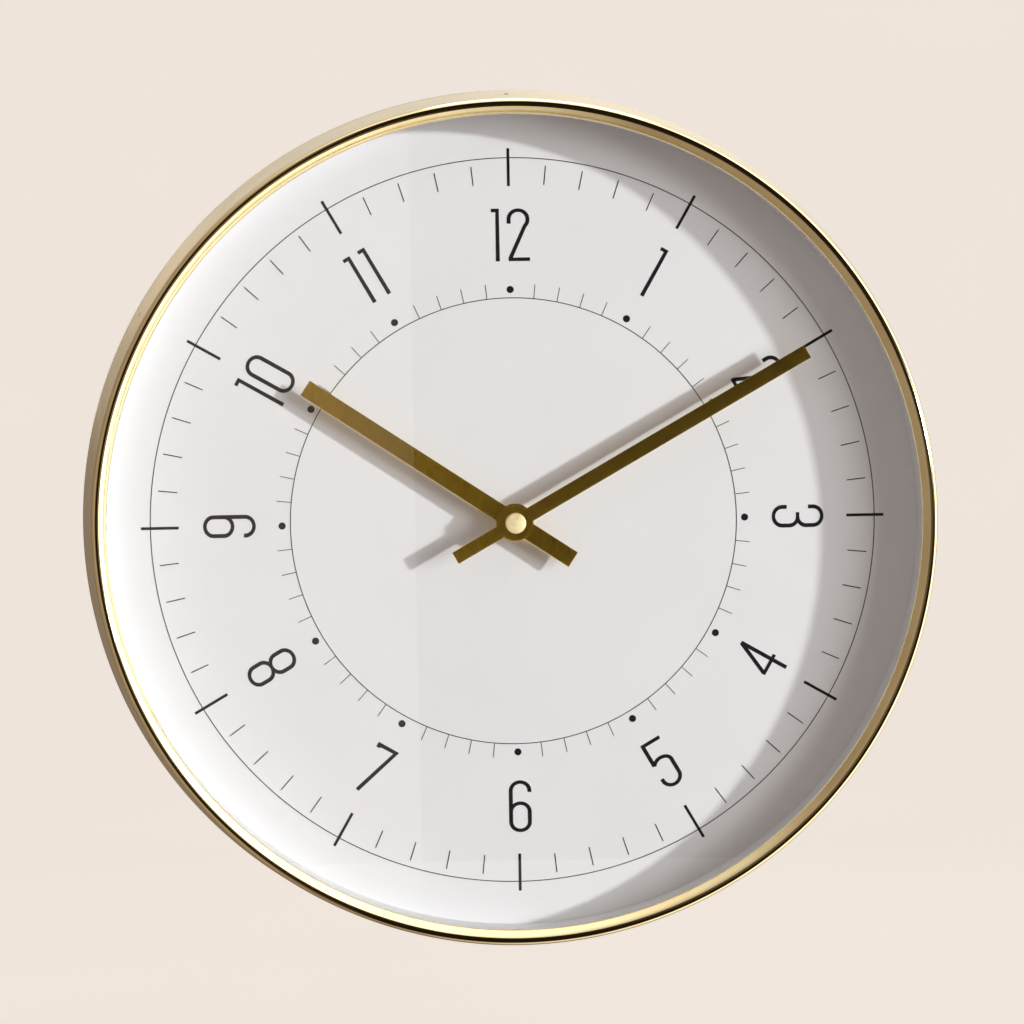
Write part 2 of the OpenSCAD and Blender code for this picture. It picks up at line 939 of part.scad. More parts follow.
module minute_wheel() {
    color([0.90, 0.88, 0.82])
    upright()
    translate(motion_at) {
        gear(motion_teeth, cannon_m, motion_turn, lev(11.6), lev(12.6));
        gear(motion_pinion, hour_m, motion_pinion_turn,
            lev(12.5), lev(14.2));
        disc(set_r, lev(-0.3), lev(14.9));
    }
}

module hour_wheel() {
    color([0.84, 0.68, 0.34])
    upright()
    difference() {
        union() {
            gear(hour_teeth, hour_m, hour_turn, lev(13.2), lev(14.2));
            disc(tube_r, lev(13.2), hour_hand_z + hand_t);
        }
        disc(shaft_r + running_play, lev(13), hour_hand_z + hand_t + 1);
    }
}

module setting_knob() {
    color([0.92, 0.92, 0.90])
    upright()
    translate(motion_at)
    difference() {
        union() {
            translate([0, 0, lev(-0.7)])
                linear_extrude(lev(2.1) - lev(-0.7))
                    difference() {
                        circle(r = knob_r);
                        for (i = [0 : 17])
                            rotate(i * 20)
                                translate([knob_r + 0.4, 0])
                                    circle(r = 0.8);
                    }
        }
        disc(set_r, lev(-0.3), lev(3));
    }
}

// ---- Battery and contacts ----
module battery_cell() {
    button_l = 1.2;
    color([0.22, 0.30, 0.42])
    upright()
    translate([-cell_l / 2, cell_y, cell_z])
    rotate([0, 90, 0]) {
        disc(cell_r - 1, 0, 1);
        disc(cell_r, 0.4, cell_l - button_l);
        disc(2.6, cell_l - button_l - bite, cell_l);
    }
}

module contact_plus() {
    face_x = cell_l / 2 + 0.1;
    color([0.80, 0.80, 0.80])
    upright()
    union() {
        box(inner_half - 0.5, inner_half - 0.1, cell_y - 5.5,
            bay_y + bay_wall_t + 2, lev(4.4), front_inner_z - 1.2);
        translate([0, cell_y, cell_z])
            rotate([0, 90, 0])
                disc(2, face_x, inner_half - 0.3);
    }
}

module contact_minus() {
    face_x = -cell_l / 2 - 0.1;
    color([0.80, 0.80, 0.80])
    upright()
    union() {
        box(-inner_half + 0.1, -inner_half + 0.5, cell_y - 5.5,
            bay_y + bay_wall_t + 2, lev(4.4), front_inner_z - 1.2);
        translate([0, 0, cell_z - 2])
            linear_extrude(4)
                polygon([
                    [-inner_half + 0.3, cell_y - 4.5],
                    [-inner_half + 0.3, cell_y - 3.8],
                    [face_x - 0.4, cell_y],
                    [-inner_half + 0.3, cell_y + 3.8],
                    [-inner_half + 0.3, cell_y + 4.5],
                    [face_x, cell_y + 0.4],
                    [face_x, cell_y - 0.4]
                ]);
    }
}

// ---- Drawing ----
case_shell();
glass_lens();
glass_gasket();
inner_ring();
dial_plate();
dial_print();
dial_board();
back_cover();
back_cover_screws();
hanger_plate();
hanger_rivets();
soft_washer();
dial_washer();
dial_nut();
hour_hand();
minute_hand();
hand_cap();
front_housing();
back_housing();
mid_plate();
circuit_board();
quartz_crystal();
coil_bobbin();
coil_winding();
coil_core();
stator_plate();
rotor();
intermediate_wheel();
second_wheel();
third_wheel();
centre_wheel();
clutch_spring();
minute_shaft();
minute_wheel();
hour_wheel();
setting_knob();
battery_cell();
contact_plus();
contact_minus();
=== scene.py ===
"""Round wall clock: the look of every piece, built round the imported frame."""

import math

import bmesh
import bpy
from bpy.props import (FloatProperty, FloatVectorProperty, IntProperty,
                       PointerProperty)
from bpy.types import Operator, Panel, PropertyGroup
from mathutils import Matrix, Vector
from mathutils.geometry import delaunay_2d_cdt


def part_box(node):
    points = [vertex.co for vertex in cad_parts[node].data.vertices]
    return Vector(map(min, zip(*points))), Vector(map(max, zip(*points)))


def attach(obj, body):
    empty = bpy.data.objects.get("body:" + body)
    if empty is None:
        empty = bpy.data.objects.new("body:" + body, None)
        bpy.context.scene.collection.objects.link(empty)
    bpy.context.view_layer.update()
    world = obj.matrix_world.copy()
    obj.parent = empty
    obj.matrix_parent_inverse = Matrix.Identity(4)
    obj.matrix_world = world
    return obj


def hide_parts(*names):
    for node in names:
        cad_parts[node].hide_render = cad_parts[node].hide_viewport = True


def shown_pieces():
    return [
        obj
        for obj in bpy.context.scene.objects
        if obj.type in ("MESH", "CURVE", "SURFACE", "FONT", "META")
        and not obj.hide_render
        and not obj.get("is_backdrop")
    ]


bl_info = {
    "name": "Wall Clock",
    "version": (1, 0, 0),
    "blender": (4, 5, 0),
    "location": "3D View > Sidebar > Clock",
    "description": "Finishes and fine shapes of a round wall clock",
    "category": "Object",
}

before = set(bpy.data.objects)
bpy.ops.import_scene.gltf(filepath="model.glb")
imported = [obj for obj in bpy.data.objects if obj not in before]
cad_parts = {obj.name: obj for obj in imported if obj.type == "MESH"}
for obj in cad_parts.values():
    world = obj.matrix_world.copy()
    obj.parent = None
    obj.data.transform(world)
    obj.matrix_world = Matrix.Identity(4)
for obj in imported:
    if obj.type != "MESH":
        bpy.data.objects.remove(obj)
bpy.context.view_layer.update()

MM = 0.001
CASE_LOW, CASE_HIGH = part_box("case_shell")
WALL_Y = CASE_HIGH.y
BACK_R = 152.5 * MM
DIAL_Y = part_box("dial_plate")[0].y
INK_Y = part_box("dial_print")[0].y


# ---------------------------------------------------------------- settings

class CaseSettings(PropertyGroup):
    """Sizes and finish of the metal case."""

    flare: FloatProperty(
        name="Flare", default=5.9 * MM, unit="LENGTH",
        description="How much the side wall widens from the lip to the wall")
    lip_width: FloatProperty(
        name="Lip width", default=5.2 * MM, unit="LENGTH",
        description="Radial width of the rounded front lip")
    wall: FloatProperty(
        name="Wall", default=2.4 * MM, unit="LENGTH",
        description="Thickness of the side wall at the back")
    steps: IntProperty(
        name="Steps", default=360, min=48, max=720,
        description="How many flats the turned pieces have round them")
    gold: FloatVectorProperty(
        name="Gold", default=(0.88, 0.745, 0.45), size=3, subtype="COLOR",
        description="Colour of the plated case")


class DialSettings(PropertyGroup):
    """Sizes and colours of the printed dial."""

    numeral_height: FloatProperty(
        name="Numeral height", default=18.4 * MM, unit="LENGTH",
        description="Height of the hour numbers")
    numeral_circle: FloatProperty(
        name="Numeral circle", default=100.5 * MM, unit="LENGTH",
        description="Radius of the circle that the numbers are centred on")
    upright_stroke: FloatProperty(
        name="Upright stroke", default=1.4 * MM, unit="LENGTH",
        description="Width of a number's upright strokes")
    level_stroke: FloatProperty(
        name="Level stroke", default=1.25 * MM, unit="LENGTH",
        description="Width of a number's level strokes")
    ink: FloatVectorProperty(
        name="Ink", default=(0.0065, 0.006, 0.007), size=3, subtype="COLOR",
        description="Colour of the printing")
    white: FloatVectorProperty(
        name="White", default=(0.86, 0.86, 0.87), size=3, subtype="COLOR",
        description="Colour of the dial's paint")


class HandSettings(PropertyGroup):
    """Sizes and finish of the hands."""

    hour_angle: FloatProperty(
        name="Hour hand", default=math.radians(303.7), subtype="ANGLE",
        description="Hour hand at rest, clockwise from twelve")
    minute_angle: FloatProperty(
        name="Minute hand", default=math.radians(60.6), subtype="ANGLE",
        description="Minute hand at rest, clockwise from twelve")
    edge: FloatProperty(
        name="Edge", default=0.17 * MM, unit="LENGTH",
        description="Width of the small bevel round each hand")
    gold: FloatVectorProperty(
        name="Gold", default=(0.66, 0.445, 0.06), size=3, subtype="COLOR",
        description="Colour of the brushed hands")


class StageSettings(PropertyGroup):
    """Camera and light."""

    distance: FloatProperty(
        name="Distance", default=1.18, unit="LENGTH",
        description="From the middle of the dial to the camera")
    azimuth: FloatProperty(
        name="Azimuth", default=math.radians(-2.77), subtype="ANGLE",
        description="How far the camera stands round to the right")
    elevation: FloatProperty(
        name="Elevation", default=math.radians(3.10), subtype="ANGLE",
        description="How far the camera stands above the clock")
    roll: FloatProperty(
        name="Roll", default=math.radians(0.967), subtype="ANGLE",
        description="How far the camera leans clockwise")
    lens: FloatProperty(
        name="Lens", default=117.93, min=20, max=300,
        description="Focal length in millimetres on a 36 mm sensor")
    aim_right: FloatProperty(
        name="Aim right", default=-0.0006, subtype="ANGLE",
        description="Turn of the camera to the right of the dial's middle")
    aim_up: FloatProperty(
        name="Aim up", default=0.0028, subtype="ANGLE",
        description="Turn of the camera above the dial's middle")
    key: FloatProperty(
        name="Key light", default=2.46, min=0,
        description="Strength of the low sun from the right")
    fill: FloatProperty(
        name="Fill light", default=0.305, min=0,
        description="Strength of the even light all round")
    floor_height: FloatProperty(
        name="Floor height", default=-0.45, unit="LENGTH",
        description="Height of the floor under the middle of the clock")


# ------------------------------------------------------------ shader maths

class Value:
    """A number on a shader socket that takes part in Python maths."""

    def __init__(self, finish, socket):
        self.finish = finish
        self.socket = socket

    def maths(self, operation, *terms):
        """A Math node of that operation."""
        return self.finish.node(
            "ShaderNodeMath", {"operation": operation}, list(terms))

    def __add__(self, other):
        return self.maths("ADD", self, other)

    __radd__ = __add__

    def __sub__(self, other):
        return self.maths("SUBTRACT", self, other)

    def __rsub__(self, other):
        return self.maths("SUBTRACT", other, self)

    def __mul__(self, other):
        return self.maths("MULTIPLY", self, other)

    __rmul__ = __mul__

    def __truediv__(self, other):
        return self.maths("DIVIDE", self, other)

    def __rtruediv__(self, other):
        return self.maths("DIVIDE", other, self)

    def __pow__(self, other):
        return self.maths("POWER", self, other)

    def above(self, edge):
        return self.maths("GREATER_THAN", self, edge)

    def below(self, edge):
        return self.maths("LESS_THAN", self, edge)


# places of sockets that share a name with others on their node
OBJECT_POINT = 3
CELL_COLOUR = 1
MIX_FIRST, MIX_SECOND, MIX_COLOUR = 6, 7, 2


class Finish:
    """A material with one Principled shader and the patterns that feed it."""

    def __init__(self, name, **constants):
        self.material = bpy.data.materials.new(name)
        self.material.use_nodes = True
        self.tree = self.material.node_tree
        self.shader = self.tree.nodes["Principled BSDF"]
        for socket, value in constants.items():
            if isinstance(value, tuple):
                value = (*value, 1.0)
            socket = socket.replace("_", " ")
            self.shader.inputs[socket].default_value = value

    def node(self, kind, settings=None, values=(), output=0):
        """A node of that type with its settings, then its values or links."""
        made = self.tree.nodes.new(kind)
        for key, value in (settings or {}).items():
            setattr(made, key, value)
        pairs = (values.items() if isinstance(values, dict)
                 else enumerate(values))
        for key, value in pairs:
            if isinstance(value, Value):
                self.tree.links.new(value.socket, made.inputs[key])
            elif value is not None:
                if made.inputs[key].type == "RGBA":
                    value = (*value, 1.0)
                made.inputs[key].default_value = value
        return Value(self, made.outputs[output])

    # -- places
    def point(self):
        """A point on the piece in its own metres."""
        return self.node("ShaderNodeTexCoord", output=OBJECT_POINT)

    def place(self, scale=(1, 1, 1), turn=(0, 0, 0)):
        """The point, turned and stretched."""
        return self.node("ShaderNodeMapping", {"vector_type": "POINT"}, {
            "Vector": self.point(), "Rotation": turn, "Scale": scale})

    def axes(self, point=None):
        """The three numbers of a point or colour."""
        point = point or self.point()
        return [self.node("ShaderNodeSeparateXYZ", None, [point], output=i)
                for i in range(3)]

    def together(self, x, y, z):
        return self.node("ShaderNodeCombineXYZ", None, [x, y, z])

    def tool_marks(self, across, along):
        """A place that is drawn out round the clock's axis."""
        x, y, z = self.axes()
        radius, angle = (x * x + z * z) ** 0.5, x.maths("ARCTAN2", z, x)
        return self.together(radius * across, y * across, angle * along)

    # -- patterns
    def noise(self, scale, detail=3.0, rough=0.5, point=None, distortion=0.0):
        return self.node("ShaderNodeTexNoise", None, {
            "Vector": point or self.place(), "Scale": scale,
            "Detail": detail, "Roughness": rough, "Distortion": distortion})

    def cells(self, scale, point=None, output=0):
        """Distance to the nearest cell's middle, or its colour."""
        return self.node("ShaderNodeTexVoronoi", {"feature": "F1"}, {
            "Vector": point or self.place(), "Scale": scale}, output)

    def between(self, value, low, high, new_low=0.0, new_high=1.0):
        """The value's way from low to high, on a new scale, held to it."""
        return self.node("ShaderNodeMapRange", {"clamp": True}, {
            "Value": value, "From Min": low, "From Max": high,
            "To Min": new_low, "To Max": new_high})

    def blend(self, share, first, second):
        """A colour between two colours, by a share."""
        return self.node(
            "ShaderNodeMix", {"data_type": "RGBA", "blend_type": "MIX"},
            {0: share, MIX_FIRST: first, MIX_SECOND: second}, MIX_COLOUR)

    def tone(self, pattern, low, high, first, second):
        """A colour that goes from first to second as the pattern rises."""
        return self.blend(self.between(pattern, low, high), first, second)

    def bump(self, height, depth, strength=1.0, onto=None):
        """A normal bent by a height pattern; depth is in metres."""
        return self.node("ShaderNodeBump", None, {
            "Strength": strength, "Distance": depth, "Height": height,
            "Normal": onto})

    def feed(self, colour=None, rough=None, normal=None, **others):
        """Links patterns to the shader and hands the material over."""
        links = {"Base Color": colour, "Roughness": rough, "Normal": normal,
                 **others}
        for socket, value in links.items():
            if value is not None:
                self.tree.links.new(
                    value.socket, self.shader.inputs[socket.replace("_", " ")])
        return self.material


# ----------------------------------------------------------------- finishes

def tinted(colour, *shares):
    """A colour with each of its parts scaled."""
    return tuple(c * s for c, s in zip(colour, shares))


def polished_gold(name, colour, roughness=0.07):
    """Bright plating with fine turning lines, haze and faint orange peel."""
    f = Finish(name, Metallic=1.0)
    lines = f.noise(1.0, 4.0, 0.65, f.tool_marks(9000.0, 6.0))
    haze = f.noise(55.0, 5.0, 0.6)
    smears = f.noise(14.0, 3.0, 0.5, distortion=1.2)
    peel = f.noise(900.0, 2.0, 0.5)
    deep = tinted(colour, 0.90, 0.87, 0.80)
    shade = f.tone(haze, 0.35, 0.7, colour, deep)
    flank = f.between(f.axes()[1], -0.018, -0.0165)
    rough = (roughness + f.between(lines, 0.42, 0.8) * 0.05
             + f.between(smears, 0.5, 0.8) * 0.06 + flank * 0.10)
    normal = f.bump(lines, 0.0000006, 1.0, f.bump(peel, 0.0000025))
    return f.feed(shade, rough, normal)


def brushed_gold(name, colour, turn, roughness=0.13):
    """Sheet metal with a fine straight grain and mottled tone."""
    f = Finish(name, Metallic=1.0)
    grain_point = f.place(scale=(1.0, 1.0, 0.045), turn=(0, turn, 0))
    grain = f.noise(5200.0, 4.0, 0.7, grain_point)
    fine = f.noise(2600.0, 5.0, 0.75)
    cloud = f.noise(260.0, 4.0, 0.6)
    dark = tinted(colour, 0.62, 0.60, 0.50)
    light = tuple(min(1.0, c * s) for c, s in zip(colour, (1.22, 1.2, 1.15)))
    shade = f.tone(grain, 0.3, 0.72, dark, light)
    shade = f.blend(f.between(cloud, 0.35, 0.7) * 0.35, shade, dark)
    shade = f.blend(f.between(fine, 0.42, 0.62) * 0.4, shade, light)
    rough = (roughness + f.between(fine, 0.35, 0.75) * 0.10
             + f.between(grain, 0.4, 0.8) * 0.06)
    normal = f.bump(grain, 0.0000045, 1.0, f.bump(fine, 0.000002))
    return f.feed(shade, rough, normal)


def satin_brass(name, colour, roughness=0.33):
    """Turned brass with soft tool rings and a little tarnish."""
    f = Finish(name, Metallic=1.0)
    rings = f.noise(1.0, 3.0, 0.6, f.tool_marks(6500.0, 1.5))
    tarnish = f.noise(240.0, 4.0, 0.6)
    old = tinted(colour, 0.78, 0.72, 0.60)
    shade = f.tone(tarnish, 0.45, 0.75, colour, old)
    rough = roughness + f.between(rings, 0.35, 0.75) * 0.14
    return f.feed(shade, rough, f.bump(rings, 0.000003))


def dial_paint(name, white):
    """Smooth sprayed enamel with barely visible levelling."""
    f = Finish(name, IOR=1.46)
    level = f.noise(26.0, 3.0, 0.5)
    speck = f.noise(2600.0, 3.0, 0.55)
    off = tinted(white, 0.982, 0.978, 0.975)
    shade = f.tone(level, 0.35, 0.65, white, off)
    rough = 0.46 + f.between(speck, 0.35, 0.7) * 0.10
    return f.feed(shade, rough, f.bump(speck, 0.0000012, 0.6))


def printing_ink(name, ink):
    """Screen print: near black, a little uneven, with a dull skin."""
    f = Finish(name, IOR=1.4, Specular_IOR_Level=0.18)
    cover = f.noise(1900.0, 4.0, 0.65)
    thin = tuple(c + 0.014 for c in ink)
    shade = f.tone(cover, 0.45, 0.8, ink, thin)
    rough = 0.5 + f.between(cover, 0.3, 0.7) * 0.14
    return f.feed(shade, rough, f.bump(cover, 0.000002, 0.8))


def moulded_plastic(name, colour, roughness=0.5, grain=1700.0, depth=0.000012,
                    streak=0.06):
    """Injection moulded plastic with spark-eroded grain and flow streaks."""
    f = Finish(name, IOR=1.49)
    texture = f.cells(grain)
    fine = f.noise(grain * 1.6, 3.0, 0.6)
    flow = f.noise(22.0, 3.0, 0.5, distortion=0.8)
    rub = f.noise(120.0, 5.0, 0.65)
    dark = tuple(c * (1 - 2.2 * streak) for c in colour)
    pale = tuple(min(1.0, c * (1 + streak) + 0.015 * streak) for c in colour)
    shade = f.tone(flow, 0.3, 0.7, dark, pale)
    shade = f.blend(f.between(rub, 0.6, 0.82) * 0.25, shade, pale)
    rough = (roughness + f.between(fine, 0.35, 0.7) * 0.12
             - f.between(rub, 0.58, 0.8) * 0.10)
    normal = f.bump(texture, depth, 0.8, f.bump(fine, depth * 0.4))
    return f.feed(shade, rough, normal)


def wood_board(name):
    """Pressed fibre board with mixed fibres and pits."""
    f = Finish(name)
    fibre = f.noise(420.0, 6.0, 0.75,
                    f.place(scale=(1.0, 1.0, 0.35), turn=(0, 0.6, 0)))
    cross = f.noise(520.0, 5.0, 0.7,
                    f.place(scale=(0.4, 1.0, 1.0), turn=(0, -0.3, 0)))
    pits = f.cells(900.0)
    shade = f.tone(fibre, 0.3, 0.72, (0.145, 0.105, 0.068),
                   (0.33, 0.255, 0.175))
    shade = f.blend(f.between(cross, 0.55, 0.8) * 0.6, shade,
                    (0.42, 0.34, 0.25))
    shade = f.blend(f.between(pits, 0.0, 0.18, 0.55, 0.0), shade,
                    (0.07, 0.05, 0.035))
    rough = 0.78 + f.between(cross, 0.3, 0.7) * 0.14
    normal = f.bump(fibre + cross, 0.00006, 0.9, f.bump(pits, 0.00003, 0.5))
    return f.feed(shade, rough, normal)


def plated_steel(name, colour=(0.58, 0.59, 0.60), roughness=0.3):
    """Zinc or nickel plated sheet with spangle, rolling lines and spots."""
    f = Finish(name, Metallic=1.0)
    spread = f.axes(f.cells(340.0, output=CELL_COLOUR))[0]
    rolled = f.noise(2400.0, 3.0, 0.6, f.place(scale=(0.05, 1, 1)))
    spots = f.noise(480.0, 5.0, 0.7)
    dull = tinted(colour, 0.62, 0.62, 0.62)
    shade = f.blend(f.between(spread, 0.0, 1.0, 0.0, 0.45), colour, dull)
    shade = f.blend(f.between(spots, 0.6, 0.8) * 0.5, shade,
                    (0.30, 0.28, 0.25))
    rough = (roughness + spread * 0.12 + f.between(spots, 0.5, 0.8) * 0.16)
    return f.feed(shade, rough, f.bump(rolled, 0.000004, 0.8))


def rubber(name, colour):
    """Soft rubber with a dusty bloom."""
    f = Finish(name, IOR=1.45)
    bloom = f.noise(700.0, 5.0, 0.7)
    grit = f.noise(5200.0, 3.0, 0.6)
    pale = tuple(c + 0.10 * (1 - c) for c in colour)
    shade = f.tone(bloom, 0.45, 0.75, colour, pale)
    return f.feed(shade, 0.72 + f.between(grit, 0.3, 0.7) * 0.15,
                  f.bump(grit, 0.000008))


def clear_glass(name):
    """Flat mineral glass with a trace of green."""
    f = Finish(name, Transmission_Weight=1.0, IOR=1.5, Roughness=0.0)
    smear = f.noise(18.0, 4.0, 0.55, distortion=1.4)
    shade = f.tone(smear, 0.3, 0.8, (0.992, 0.998, 0.996),
                   (0.984, 0.994, 0.990))
    return f.feed(shade)


def circuit_resin(name):
    """Green solder mask over copper tracks."""
    f = Finish(name, IOR=1.5)
    x, _, z = f.axes()
    pitch = 2400.0              # track places in a metre

    def snapped(value):
        scaled = value * pitch
        return scaled.maths("ROUND", scaled) / pitch

    tracks = f.cells(620.0, f.together(snapped(x), 0.0, snapped(z)))
    weave = f.noise(2800.0, 2.0, 0.5)
    under = f.between(tracks, 0.25, 0.3)
    shade = f.blend(under, (0.03, 0.16, 0.07), (0.012, 0.085, 0.035))
    return f.feed(shade, 0.28 + f.between(weave, 0.3, 0.7) * 0.12,
                  f.bump(under, 0.00002, 0.7,
                                f.bump(weave, 0.000006)))


def drawn_can(name):
    """Bright drawn metal can."""
    f = Finish(name, Metallic=1.0)
    lines = f.noise(3600.0, 3.0, 0.6, f.place(scale=(1, 1, 0.06)))
    spots = f.noise(600.0, 4.0, 0.6)
    shade = f.tone(spots, 0.5, 0.8, (0.66, 0.66, 0.64),
                   (0.42, 0.41, 0.38))
    return f.feed(shade, 0.22 + f.between(lines, 0.3, 0.7) * 0.14,
                  f.bump(lines, 0.000004))


def wound_copper(name):
    """Fine enamelled wire wound round the bobbin, with painted shade between
    the turns.
    """
    f = Finish(name, Metallic=0.85)
    _, _, z = f.axes()
    phase = z * 31400.0
    # each turn of wire goes from dark to bright copper: painted shade in the
    # grooves between turns and painted highlight on their crests, with a random
    # wander; the same pattern also bumps the surface
    turns = phase.maths("SINE", phase)
    wander = f.noise(900.0, 3.0, 0.6)
    shade = f.tone(turns + wander, 0.0, 1.6, (0.40, 0.13, 0.045),
                   (0.80, 0.33, 0.13))
    return f.feed(shade, 0.26 + f.between(wander, 0.3, 0.7) * 0.12,
                  f.bump(turns + wander * 0.6, 0.00004, 0.9))


def mottled_metal(name, metallic, grain, first, second, roughness, depth):
    """Metal with one grain in its tone, its gloss and its surface."""
    f = Finish(name, Metallic=metallic)
    skin = f.noise(*grain)
    shade = f.tone(skin, 0.35, 0.7, first, second)
    smoothest, spread = roughness
    return f.feed(shade, smoothest + f.between(skin, 0.3, 0.7) * spread,
                  f.bump(skin, depth))


def annealed_iron(name):
    """Stacked soft iron with a bluish skin."""
    return mottled_metal(name, 1.0, (700.0, 5.0, 0.65), (0.30, 0.30, 0.33),
                         (0.16, 0.15, 0.16), (0.42, 0.16), 0.000008)


def sintered_magnet(name):
    """Dark sintered magnet with its pinion."""
    return mottled_metal(name, 0.35, (5200.0, 4.0, 0.7), (0.045, 0.045, 0.05),
                         (0.11, 0.11, 0.115), (0.45, 0.2), 0.00001)


def cell_jacket(name):
    """Printed film round a steel cell, with bare ends and plain bands."""
    low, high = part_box("battery_cell")
    length = high.x - low.x
    f = Finish(name)
    x, _, _ = f.axes()
    along = (x - low.x) / length
    bare = along.below(0.012) + along.above(0.962)
    band = along.above(0.70) * along.below(0.955)
    line = along.above(0.675) * along.below(0.69)
    crinkle = f.noise(900.0, 3.0, 0.5)
    scuff = f.noise(420.0, 5.0, 0.7)
    shade = f.blend(band, (0.50, 0.52, 0.54), (0.05, 0.055, 0.065))
    shade = f.blend(line, shade, (0.30, 0.07, 0.05))
    shade = f.blend(f.between(scuff, 0.66, 0.8) * 0.2, shade,
                    (0.35, 0.36, 0.38))
    shade = f.blend(bare, shade, (0.62, 0.61, 0.58))
    shine = bare + 0.35
    metal = shine.maths("MINIMUM", shine, 1.0)
    rough = 0.24 + f.between(scuff, 0.4, 0.75) * 0.2
    return f.feed(shade, rough, f.bump(crinkle, 0.00001, 0.5),
                  Metallic=metal)


def plaster(name, colour, glow):
    """Plain pale stage paint."""
    f = Finish(name, Roughness=0.9, Specular_IOR_Level=0.1,
               Emission_Strength=glow)
    cloud = f.noise(3.0, 3.0, 0.5)
    off = tinted(colour, 0.985, 0.985, 0.985)
    shade = f.tone(cloud, 0.3, 0.7, colour, off)
    return f.feed(shade, Emission_Color=shade)


def tent_cloth(name, radius):
    """A glowing shell that only mirrors see: painted reflections, dark in
    front, bright round the sides.
    """
    f = Finish(name, Base_Color=(0, 0, 0), Roughness=1.0,
               Emission_Strength=1.0, Specular_IOR_Level=0.0)
    x, y, z = f.axes()
    # tilt turns away from straight ahead; right and up go round the rim
    ahead = y / -radius
    tilt = ahead.maths("ARCCOSINE", ahead)
    out = (x * x + z * z) ** 0.5 + 0.0001
    right, up = x / out, z / out
    # a near black glow straight ahead: painted dark reflection of the room
    # behind the camera
    least_side, front_glow = 0.36, 0.014
    # the sides glow brightest to the right and above: painted reflection of a
    # sunlit room
    side = 1.25 + right * 1.6 + up * 0.5
    side = side.maths("MAXIMUM", side, least_side)
    rear = (0.25 + f.between(up, 0.35, 1.0) * 0.51
            + f.between(right, 0.0, 0.8) * 0.5)
    # a paler patch just left of straight ahead: painted reflection, seen mostly
    # on the hands
    painted_reflection_patch = (x.above(-0.6) * x.below(0.006) * z.above(-0.5)
            * z.below(0.45) * 0.42)
    middle = 0.02 + painted_reflection_patch
    in_front = f.between(tilt, 1.27, 1.40, 1.0, 0.0)
    in_middle = f.between(tilt, 0.20, 0.28, 1.0, 0.0) * ahead.above(0.0)
    behind = f.between(tilt, 1.8, 2.0)
    # a brighter band on the left and a faint patch low on the right of the dark
    # front: painted reflections of the wall round the clock
    dim = (f.between(tilt, 0.8, 1.05) * f.between(right, -0.3, -0.6) * 0.42
           + f.between(tilt, 0.62, 0.5) * f.between(right, 0.3, 0.6)
           * f.between(up, 0.1, -0.1) * 0.12)
    level = side * (1.0 - behind) + rear * behind
    level = level * (1.0 - in_front) + in_front * (front_glow + dim)
    level = level * (1.0 - in_middle) + middle * in_middle
    # dim glow is tinted brown and bright glow cream: painted reflection of a
    # wall in shade and in light
    warm = f.tone(level, 0.05, 0.7, (1.0, 0.72, 0.48), (1.0, 0.94, 0.86))
    glow = f.node("ShaderNodeVectorMath", {"operation": "SCALE"},
                  {"Vector": warm, "Scale": level})
    return f.feed(Emission_Color=glow)


# -------------------------------------------------------------------- shapes

def linked(name, data):
    """A new object in the scene."""
    made = bpy.data.objects.new(name, data)
    bpy.context.scene.collection.objects.link(made)
    return made


def new_piece(name, mesh, material, sharp=35.0):
    """An object from a mesh, smooth but for edges over the sharp angle."""
    mesh.shade_smooth()
    mesh.set_sharp_from_angle(angle=math.radians(sharp))
    mesh.materials.append(material)
    return linked(name, mesh)


def turned(shape, profile, steps, centre=(0.0, 0.0)):
    """Adds a closed profile of (radius, y) turned about the clock's axis."""
    rings = []
    for i in range(steps):
        angle = 2 * math.pi * i / steps
        rings.append([
            shape.verts.new((centre[0] + r * math.cos(angle), y,
                             centre[1] + r * math.sin(angle)))
            for r, y in profile])
    for i, ring in enumerate(rings):
        following = rings[(i + 1) % steps]
        for j in range(len(profile)):
            k = (j + 1) % len(profile)
            shape.faces.new((ring[j], ring[k], following[k], following[j]))


def dome(shape, profile, steps):
    """Adds a profile of (radius, y) from the axis out and back to the axis."""
    tips = (shape.verts.new((0, profile[0][1], 0)),
            shape.verts.new((0, profile[-1][1], 0)))
    rings = []
    for i in range(steps):
        angle = 2 * math.pi * i / steps
        rings.append([shape.verts.new((r * math.cos(angle), y,
                                       r * math.sin(angle)))
                      for r, y in profile[1:-1]])
    for i, ring in enumerate(rings):
        following = rings[(i + 1) % steps]
        shape.faces.new((tips[0], ring[0], following[0]))
        shape.faces.new((ring[-1], tips[1], following[-1]))
        for j in range(len(ring) - 1):
            shape.faces.new((ring[j], ring[j + 1], following[j + 1],
                             following[j]))


def finished(shape, name):
    """A mesh from a bmesh, with its normals turned outwards."""
    bmesh.ops.recalc_face_normals(shape, faces=shape.faces)
    mesh = bpy.data.meshes.new(name)
    shape.to_mesh(mesh)
    shape.free()
    return mesh


def oval(centre, half_x, half_y, start, end, count):
    """Points on part of an oval, angles in degrees."""
    return [(centre[0] + half_x * math.cos(math.radians(a)),
             centre[1] + half_y * math.sin(math.radians(a)))
            for a in (start + (end - start) * i / count
                      for i in range(count + 1))]


def arc(centre, radius, start, end, count):
    """Points on part of a circle, angles in degrees."""
    return oval(centre, radius, radius, start, end, count)


# how outlines are filled: their insides only, near points made one
INSIDE_ONLY = 1
MERGE = 1e-7


def flat_sheet(outlines, holes=()):
    """Triangles of the union of flat outlines, less the holes."""
    points, faces = [], []
    for loop in [*outlines, *holes]:
        faces.append(list(range(len(points), len(points) + len(loop))))
        points.extend(Vector(p) for p in loop)
    made = delaunay_2d_cdt(points, [], faces, INSIDE_ONLY, MERGE, True)
    verts, tris, sources = made[0], made[2], made[5]
    kept = [t for t, s in zip(tris, sources)
            if s and not any(i >= len(outlines) for i in s)]
    return verts, kept


FLAT_TURN = math.radians(0.5)


